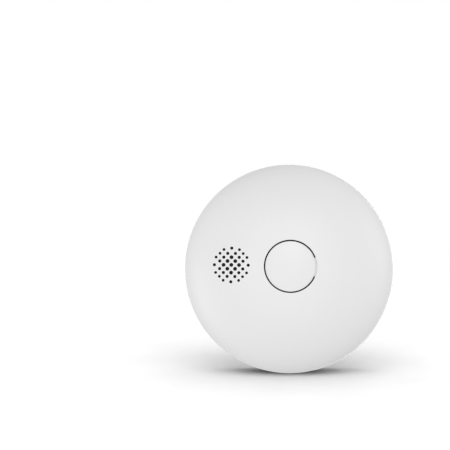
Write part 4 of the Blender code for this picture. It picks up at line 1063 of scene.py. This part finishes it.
def make_plate():
    rim_top = TAB_TOP + SEAT_GAP
    rim_inner = PLATE_RADIUS - RIM_WALL
    rib_top = PLATE_THICKNESS + RIB_HEIGHT
    rib_low = RIB_RADIUS - RIB_WIDTH / 2
    rib_high = RIB_RADIUS + RIB_WIDTH / 2
    corners = [(0, 0), (PLATE_RADIUS, 0, SOFT), (PLATE_RADIUS, rim_top, SOFT), (rim_inner, rim_top, SOFT)]
    corners += [(rim_inner, PLATE_THICKNESS, SOFT), (rib_high, PLATE_THICKNESS, SHARP)]
    corners += [(rib_high, rib_top, SHARP), (rib_low, rib_top, SHARP)]
    corners += [(rib_low, PLATE_THICKNESS, SHARP), (0, PLATE_THICKNESS)]
    plate = solid("mounting_plate_moulding", turned(corners, FINE_ROUND))
    root = PLATE_RADIUS - RIM_WALL / 2
    rib_foot = (RIB_RADIUS, -RIB_WIDTH / 2, PLATE_THICKNESS - OVERLAP)
    rib_end = (root, RIB_WIDTH / 2, rib_top - SEAT_GAP)
    ribs = [spun(block(rib_foot, rib_end), angle) for angle in around(SLOT_COUNT, math.pi / SLOT_COUNT)]
    join(plate, *ribs)
    tab = [(root, TAB_BACK), (TAB_TIP, TAB_BACK, SHARP), (TAB_TIP, TAB_TOP, SOFT), (root, TAB_TOP)]
    stop_tip = TAB_TIP - SOFT
    stop = [(root, LEDGE_BACK), (stop_tip, LEDGE_BACK, SHARP), (stop_tip, TAB_TOP), (root, TAB_TOP)]
    stop_gap = SEAT_GAP / PLATE_RADIUS
    tabs = []
    for angle in around(TAB_COUNT, TAB_FIRST):
        tabs.append(sector(tab, angle, TAB_ANGLE))
        tabs.append(sector(stop, angle - TAB_ANGLE / 2 - stop_gap - STOP_ANGLE / 2, STOP_ANGLE))
    join(plate, *tabs)
    cut(plate, *[slot_drill(angle) for angle in around(SLOT_COUNT)], *ceiling_side_marks())
    dress(plate, "housing_white", "mounting_plate", PLATE)


def make_screen():
    """A fine moulded grid in a plain band, thickened inwards."""
    pitch = TAU / SCREEN_WINDOWS
    edges = []
    for angle in around(SCREEN_WINDOWS):
        edges += [angle, angle + SCREEN_BAR_SHARE * pitch]
    mesh = bmesh.new()
    grid = []
    for level in SCREEN_LEVELS:
        rise = Vector((0, 0, level))
        grid.append([mesh.verts.new(polar(SCREEN_OUTER, angle) + rise) for angle in edges])
    for band, (lower, upper) in enumerate(zip(grid, grid[1:])):
        for column in range(len(edges)):
            window = band % 2 == 1 and column % 2 == 1
            if not window:
                after = (column + 1) % len(edges)
                mesh.faces.new((lower[column], lower[after], upper[after], upper[column]))
    screen = solid("insect_screen_grid", closed(mesh))
    wall = screen.modifiers.new("wall", "SOLIDIFY")
    wall.thickness = SCREEN_OUTER - SCREEN_INNER
    wall.offset = -1
    wall.use_even_offset = True
    dress(settle(screen), "screen_black", "insect_screen")


def make_retainer():
    inner = SCREEN_INNER - RETAINER_INSIDE
    lip_inner = SCREEN_OUTER + SEAT_GAP
    lip_outer = lip_inner + RETAINER_LIP_WALL
    outer, low, high = upright("screen_retainer")
    seat = low + RETAINER_LIP_DROP
    corners = [(inner, seat, SHARP), (lip_inner, seat), (lip_inner, low, SHARP), (lip_outer, low, SHARP)]
    corners += [(lip_outer, seat, SHARP), (outer, seat, SHARP), (outer - SEAT_GAP, high, SHARP)]
    corners.append((inner, high, SHARP))
    retainer = solid("screen_retainer_ring", turned(corners, FINE_ROUND))
    dress(retainer, "housing_white", "screen_retainer")


# Sounder, battery and screws

def turned_piece(node, corners, slot, body=HEAD, sides=SMALL_ROUND):
    """A fine turned piece on the upright axis of its CAD node, from its eased corners, lowest first."""
    dress(solid(f"{node}_fine", pin(corners, own_middle(node), sides)), slot, node, body)


def make_sounder():
    radius, low, high = upright("sounder_support")
    ring = turned(rectangle(radius - SUPPORT_WALL, radius, low, high))
    dress(solid("sounder_support_fine", shifted(ring, SOUNDER)), "housing_white", "sounder_support")
    for node, slot in (("piezo_disc", "brass"), ("piezo_ceramic", "piezo_ceramic")):
        radius, low, high = upright(node)
        ease = PIEZO_EASE_SHARE * (high - low)
        turned_piece(node, [(radius, low, ease), (radius, high, ease)], slot, sides=MIDDLE_ROUND)


def make_cell():
    """A cell with a rolled edge at each end and a nub at one."""
    low, high = own_box("battery_cell")
    end = (high.x - low.x) / 2
    radius = (high.z - low.z) / 2
    roll = radius - CELL_ROLL
    shoulder = end - CELL_NUB_HEIGHT
    corners = [(roll, SOFT - end, SHARP), (roll, -end, SHARP), (radius, -end, SOFT)]
    corners += [(radius, shoulder, SOFT), (roll, shoulder, SHARP), (roll, shoulder - SOFT, SHARP)]
    corners += [(CELL_NUB, shoulder - SOFT, SHARP), (CELL_NUB, end, SOFT)]
    cell = laid_along_x(pin(corners, sides=MIDDLE_ROUND), (low + high) / 2)
    dress(solid("battery_cell_fine", cell), "cell_wrap", "battery_cell")


def make_spring():
    """A conical coil with a closed turn at each end, of round wire."""
    low, high = own_box("battery_spring")
    axis = own_middle("battery_cell")
    start = low.x + SPRING_WIRE
    reach = high.x - low.x - 2 * SPRING_WIRE
    steps = SPRING_TURNS * SPRING_POINTS
    curve = bpy.data.curves.new("battery_spring_wire", "CURVE")
    curve.dimensions = "3D"
    curve.bevel_depth = SPRING_WIRE
    curve.bevel_resolution = WIRE_STEPS
    curve.use_fill_caps = True
    spline = curve.splines.new("POLY")
    spline.points.add(steps)
    for step, point in enumerate(spline.points):
        turns = step / SPRING_POINTS
        open_share = (turns - SPRING_CLOSED) / (SPRING_TURNS - 2 * SPRING_CLOSED)
        rise = min(1, max(0, open_share))
        radius = SPRING_WIDE + (SPRING_TIP - SPRING_WIDE) * step / steps
        across = polar(radius, TAU * turns)
        point.co = (start + reach * rise ** 2 * (3 - 2 * rise), axis.y + across.x, axis.z + across.y, 1)
    coil = linked("battery_spring_wire", curve)
    drawn = bpy.data.meshes.new_from_object(coil.evaluated_get(bpy.context.evaluated_depsgraph_get()))
    bpy.data.objects.remove(coil)
    mesh = bmesh.new()
    mesh.from_mesh(drawn)
    dress(solid("battery_spring_fine", closed(mesh)), "plated_steel", "battery_spring")


def cross_recess(reach, low, high, at):
    """A cutter for a screw's cross recess."""
    arm = reach / CROSS_SLENDERNESS
    corner = [(reach, -arm), (reach, arm), (arm, arm)]
    outline = []
    for turn in around(CROSS_ARMS):
        outline += [tuple(Matrix.Rotation(turn, 2) @ Vector(point)) for point in corner]
    return shifted(prism(outline, low, high), at)


def thread(crest, seat, tip):
    """Corners down a threaded shank from its seat to its tip, each ridge a ring."""
    root = crest - THREAD_DEPTH
    pitch = math.copysign(THREAD_PITCH, tip - seat)
    count = int((abs(tip - seat) - 2 * THREAD_PITCH) / THREAD_PITCH)
    corners = [(root, seat), (root, seat + pitch / 2)]
    for ridge in range(count):
        foot = seat + (ridge + 0.5) * pitch
        corners += [(crest, foot + share * pitch) for share in THREAD_CREST]
        corners.append((root, foot + pitch))
    return corners + [(root * THREAD_TIP_SHARE, tip)]


def make_screws():
    """Thread-forming screws: the housing's heads face the ceiling, the board's face the room."""
    for kind, (count, height, crest, way) in SCREWS.items():
        for number in range(1, count + 1):
            node = f"{kind}_{number}"
            at = own_middle(node)
            head, *ends = upright(node)
            crown, tip = ends[::way]
            seat = crown + way * height
            corners = [(head, crown, HEAD_ROUND), (head, seat, SHARP)] + thread(crest, seat, tip)
            screw = solid(f"{node}_fine", pin(corners[::way], at, PIN_ROUND))
            recess = sorted((crown - way * OVERLAP, crown + way * height / 2))
            cut(screw, cross_recess(crest, *recess, at))
            dress(screw, "plated_steel", node)


# Board and its parts

BOARD_TOP = own_box("circuit_board")[1].z
SOLDERED = BOARD_TOP + SOLDER_FILM


def lid_marks():
    """Cutters for the chamber lid's sunk panel and the gate in its middle."""
    radius, _, top = upright("chamber_cover")
    middle = own_middle("chamber_cover")
    panel = radius - LID_RIM
    sunk = [(panel - LID_SINK, top - LID_SINK), (panel + OVERLAP, top + OVERLAP)]
    return [pin(sunk, middle, MIDDLE_ROUND), rod(GATE_RADIUS, top - 2 * LID_SINK, top, middle)]


def key_mark():
    """A cutter for the dimple beside the controller's first lead."""
    low, high = own_box("microcontroller")
    return [rod(KEY_DIMPLE, high.z - SHARP, high.z + OVERLAP, low + KEY_INSET, PIN_ROUND)]


def make_softened():
    """Copies of CAD solids, in their places, whose edges are rounded after any cuts of their own."""
    cutters = {"chamber_cover": lid_marks, "microcontroller": key_mark}
    for node, (ease, slot) in SOFTENED.items():
        mesh = bmesh.new()
        mesh.from_mesh(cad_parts[node].data)
        bmesh.ops.remove_doubles(mesh, verts=mesh.verts, dist=NODE_WELD)
        bmesh.ops.dissolve_limit(mesh, angle_limit=FLAT, verts=mesh.verts, edges=mesh.edges)
        item = solid(f"{node}_fine", moved(mesh, ALARM_AXIS.inverted()))
        if node in cutters:
            cut(item, *cutters[node]())
        steady_flats(dress(rounded(item, ease), slot, node))


def make_plunger():
    radius, low, high = upright("switch_plunger")
    turned_piece("switch_plunger", [(radius, low, SHARP), (radius, high, SOFT)], "button_white", BUTTON)


def make_capacitor():
    """A can with a groove near its foot and a rim round its top."""
    radius, low, high = upright("storage_capacitor")
    neck = radius - CAN_GROOVE_DEPTH
    groove = low + CAN_GROOVE
    corners = [(radius, low, SHARP), (radius, groove - SOFT, SHARP), (neck, groove, SHARP)]
    corners += [(radius, groove + SOFT, SHARP), (radius, high, SOFT), (neck - SOFT, high, SHARP)]
    corners.append((neck - SOFT, high - SHARP))
    turned_piece("storage_capacitor", corners, "plated_steel")


def make_coil():
    """A drum coil: its winding between two flanges."""
    radius, low, high = upright("sounder_transformer")
    start = low + COIL_FLANGE
    wire = (high - low - 2 * COIL_FLANGE) / COIL_TURNS
    crest = COIL_CORE + COIL_RIDGE_SHARE * wire
    corners = [(radius, low, SHARP), (radius, start, SHARP), (COIL_CORE, start)]
    for number in range(COIL_TURNS):
        foot = start + number * wire
        corners += [(crest, foot + share * wire) for share in COIL_CREST]
        corners.append((COIL_CORE, foot + wire))
    corners += [(radius, high - COIL_FLANGE, SHARP), (radius, high, SHARP)]
    turned_piece("sounder_transformer", corners, "copper_winding")


def lead_row(count, pitch, edge, hip):
    """Gull-wing leads out of a package's +y side: from its edge at hip height down to the board."""
    half = LEAD_THICKNESS / 2
    bend = edge + (LEAD_REACH - LEAD_SLANT) / 2
    heel = bend + LEAD_SLANT
    toe = edge + LEAD_REACH
    outline = [(edge - SHARP, hip + half), (bend, hip + half), (heel, SOLDERED + LEAD_THICKNESS)]
    outline += [(toe, SOLDERED + LEAD_THICKNESS), (toe, SOLDERED), (heel - half, SOLDERED)]
    outline += [(bend - half, hip - half), (edge - SHARP, hip - half)]
    first = -(count - 1) * pitch / 2 - LEAD_WIDTH / 2
    lows = [first + number * pitch for number in range(count)]
    return grouped([laid_along_x(prism(outline, low, low + LEAD_WIDTH)) for low in lows])


def make_packages():
    """Leads for the flat controller package, and the small transistor that drives the sounder."""
    low, high = own_box("microcontroller")
    middle = (low + high) / 2
    edge = (high.y - low.y) / 2
    rows = []
    for turn in around(LEAD_SIDES):
        rows.append(shifted(spun(lead_row(LEADS_PER_SIDE, LEAD_PITCH, edge, middle.z), turn), middle))
    half = DRIVER_HALF
    top = SOLDERED + DRIVER_HEIGHT
    body = block(DRIVER_PLACE - half + Vector((0, 0, SOLDERED)), DRIVER_PLACE + half + Vector((0, 0, top)))
    steady_flats(dress(rounded(solid("sounder_driver", body), SHARP), "chamber_black"))
    hip = SOLDERED + DRIVER_HEIGHT / 2
    rows.append(shifted(lead_row(1, DRIVER_PITCH, half.y, hip), DRIVER_PLACE))
    rows.append(shifted(spun(lead_row(2, 2 * DRIVER_PITCH, half.y, hip), math.pi), DRIVER_PLACE))
    dress(rounded(solid("package_leads", grouped(rows)), SOLDER_FILM), "plated_steel")


def make_chips():
    """Chip resistors and capacitors, with tinned end caps."""
    inner = CHIP_LENGTH / 2 - CHIP_CAP
    side = CHIP_WIDTH / 2
    lip = CHIP_CAP_LIP
    caps = []
    kinds = (("chip_resistors", RESISTORS, 0, "chamber_black", None),
             ("chip_capacitors", CAPACITORS, math.pi / 2, "piezo_ceramic", "chip_ceramic"))
    for name, places, turn, slot, finish in kinds:
        bodies = []
        for place in places:
            seat = Matrix.Translation((*place, SOLDERED)) @ Matrix.Rotation(turn, 4, "Z")
            bodies.append(moved(block((-inner, -side, lip), (inner, side, CHIP_HEIGHT)), seat))
            for end in (0, math.pi):
                cap = block((inner, -side - lip, 0), (inner + CHIP_CAP, side + lip, CHIP_HEIGHT + lip))
                caps.append(moved(spun(cap, end), seat))
        dress(rounded(solid(name, grouped(bodies)), CHIP_EASE), slot, finish=finish)
    dress(rounded(solid("chip_end_caps", grouped(caps)), CHIP_EASE), "plated_steel")


def make_joints():
    """Solder joints behind the board, under the parts whose legs go through it."""
    back = BOARD_BACK - SOLDER_FILM
    tip = back - JOINT_HEIGHT
    corners = [(JOINT_TIP, tip, SHARP), (JOINT_TIP, tip + JOINT_HEIGHT / 4)]
    corners += [((JOINT_TIP + JOINT_FOOT) / 2, back - JOINT_HEIGHT / 4, SHARP), (JOINT_FOOT, back)]
    joints = []
    for node, spread in JOINT_SPREADS.items():
        for side in (-spread, spread):
            joints.append(pin(corners, own_middle(node) + Vector((side, 0, 0)), PIN_ROUND))
    dress(solid("solder_joints", grouped(joints)), "plated_steel")


def make_alarm():
    make_cover()
    make_cloth()
    make_button()
    make_gap_shade_ring()
    make_guide()
    make_tray()
    make_plate()
    make_screen()
    make_retainer()
    make_sounder()
    make_cell()
    make_spring()
    make_screws()
    make_softened()
    make_plunger()
    make_capacitor()
    make_coil()
    make_packages()
    make_chips()
    make_joints()


# Studio

def make_camera():
    """A long lens that looks up a little, with the alarm low and to the right in the frame."""
    tip = Matrix.Rotation(math.pi / 2 - CAMERA_ELEVATION, 3, "X")
    facing = Matrix.Rotation(CAMERA_AZIMUTH, 3, "Z") @ tip @ Matrix.Rotation(CAMERA_ROLL, 3, "Z")
    middle = FRAME_WIDTH / 2
    sight = Vector((AIM_PIXEL[0] - middle, middle - AIM_PIXEL[1], -FOCAL_PIXELS))
    swing = sight.rotation_difference(Vector((0, 0, -1)))
    data = bpy.data.cameras.new("photo_camera")
    data.sensor_width = SENSOR
    data.lens = SENSOR * FOCAL_PIXELS / FRAME_WIDTH
    camera = linked("photo_camera", data)
    turn = facing @ swing.to_matrix()
    camera.matrix_world = Matrix.Translation(AIM + facing.col[2] * CAMERA_DISTANCE) @ turn.to_4x4()
    bpy.context.scene.camera = camera


def pale_floor():
    """Pale paper that only the camera sees, from above, and that fades out all round."""
    finish = finish_called("pale_floor")
    mottle = finish.noise(scale=30, detail=2)
    paper = finish.blend(mottle, grey(FLOOR_LEVEL - FLOOR_MOTTLE), grey(FLOOR_LEVEL + FLOOR_MOTTLE))
    diffuse = finish.node("ShaderNodeBsdfDiffuse", None, {"Color": paper})
    clear = finish.node("ShaderNodeBsdfTransparent")
    reach = finish.node("ShaderNodeVectorMath", {"operation": "LENGTH"}, {0: finish.place()}, "Value")
    limits = {"Value": reach, "From Min": FLOOR_CLEAR, "From Max": FLOOR_GONE}
    away = finish.node("ShaderNodeMapRange", {"interpolation_type": "SMOOTHSTEP"}, limits)
    below = finish.node("ShaderNodeNewGeometry", output="Backfacing")
    hidden = 1 - finish.ray("Camera") * (1 - away) * (1 - below)
    return finish.material(finish.node("ShaderNodeMixShader", None, {0: hidden, 1: diffuse, 2: clear}))


def make_floor():
    """A floor that tips towards the camera and keeps the alarm's soft shadow."""
    mesh = bmesh.new()
    bmesh.ops.create_grid(mesh, x_segments=FLOOR_GRID, y_segments=FLOOR_GRID, size=FLOOR_HALF)
    floor = solid("pale_floor", mesh)
    floor.data.materials.append(pale_floor())
    lip = Vector((0, -WIDEST, -COVER_RADIUS))
    level = Matrix.Rotation(-CAMERA_ROLL, 4, "Y")
    floor.matrix_world = level @ Matrix.Translation(lip) @ Matrix.Rotation(FLOOR_TILT, 4, "X")
    return floor


def make_world():
    """White to look at and in reflections, with a softer, even light on matt surfaces."""
    world = bpy.data.worlds.new("white_studio")
    sky = Finish(world)
    shown = sky.ray("Camera") + sky.ray("Glossy") + sky.ray("Transmission")
    strength = SKY_LEVEL + shown * (1 - SKY_LEVEL)
    background = sky.node("ShaderNodeBackground", None, {"Color": (1, 1, 1, 1), "Strength": strength})
    sky.node("ShaderNodeOutputWorld", None, {"Surface": background})
    bpy.context.scene.world = world


def softbox(name, place, size, level):
    """A square lamp aimed at the alarm, which alone would light a white card there to a level."""
    data = bpy.data.lights.new(name, "AREA")
    data.size = size
    reach = Vector(place) - AIM
    spread = size / 2 / math.hypot(size / 2, reach.length)
    share = 4 / math.pi * spread * math.atan(spread)
    data.energy = level * math.pi * size ** 2 / share
    lamp = linked(name, data)
    lamp.matrix_world = Matrix.Translation(place) @ reach.to_track_quat("Z", "Y").to_matrix().to_4x4()
    lamp.visible_camera = False
    return lamp


def make_studio():
    """The alarm's own lamps, and lamps for the floor alone, whose light the alarm shades."""
    make_camera()
    make_world()
    for name, (place, size, level) in SOFTBOXES.items():
        softbox(name, place, size, level)
    floor_only = bpy.data.collections.new("floor_only")
    floor_only.objects.link(make_floor())
    for name, (place, size, level) in FLOOR_SOFTBOXES.items():
        softbox(name, place, size, level).light_linking.receiver_collection = floor_only
    bpy.context.scene.view_settings.view_transform = "Standard"


make_alarm()
make_studio()
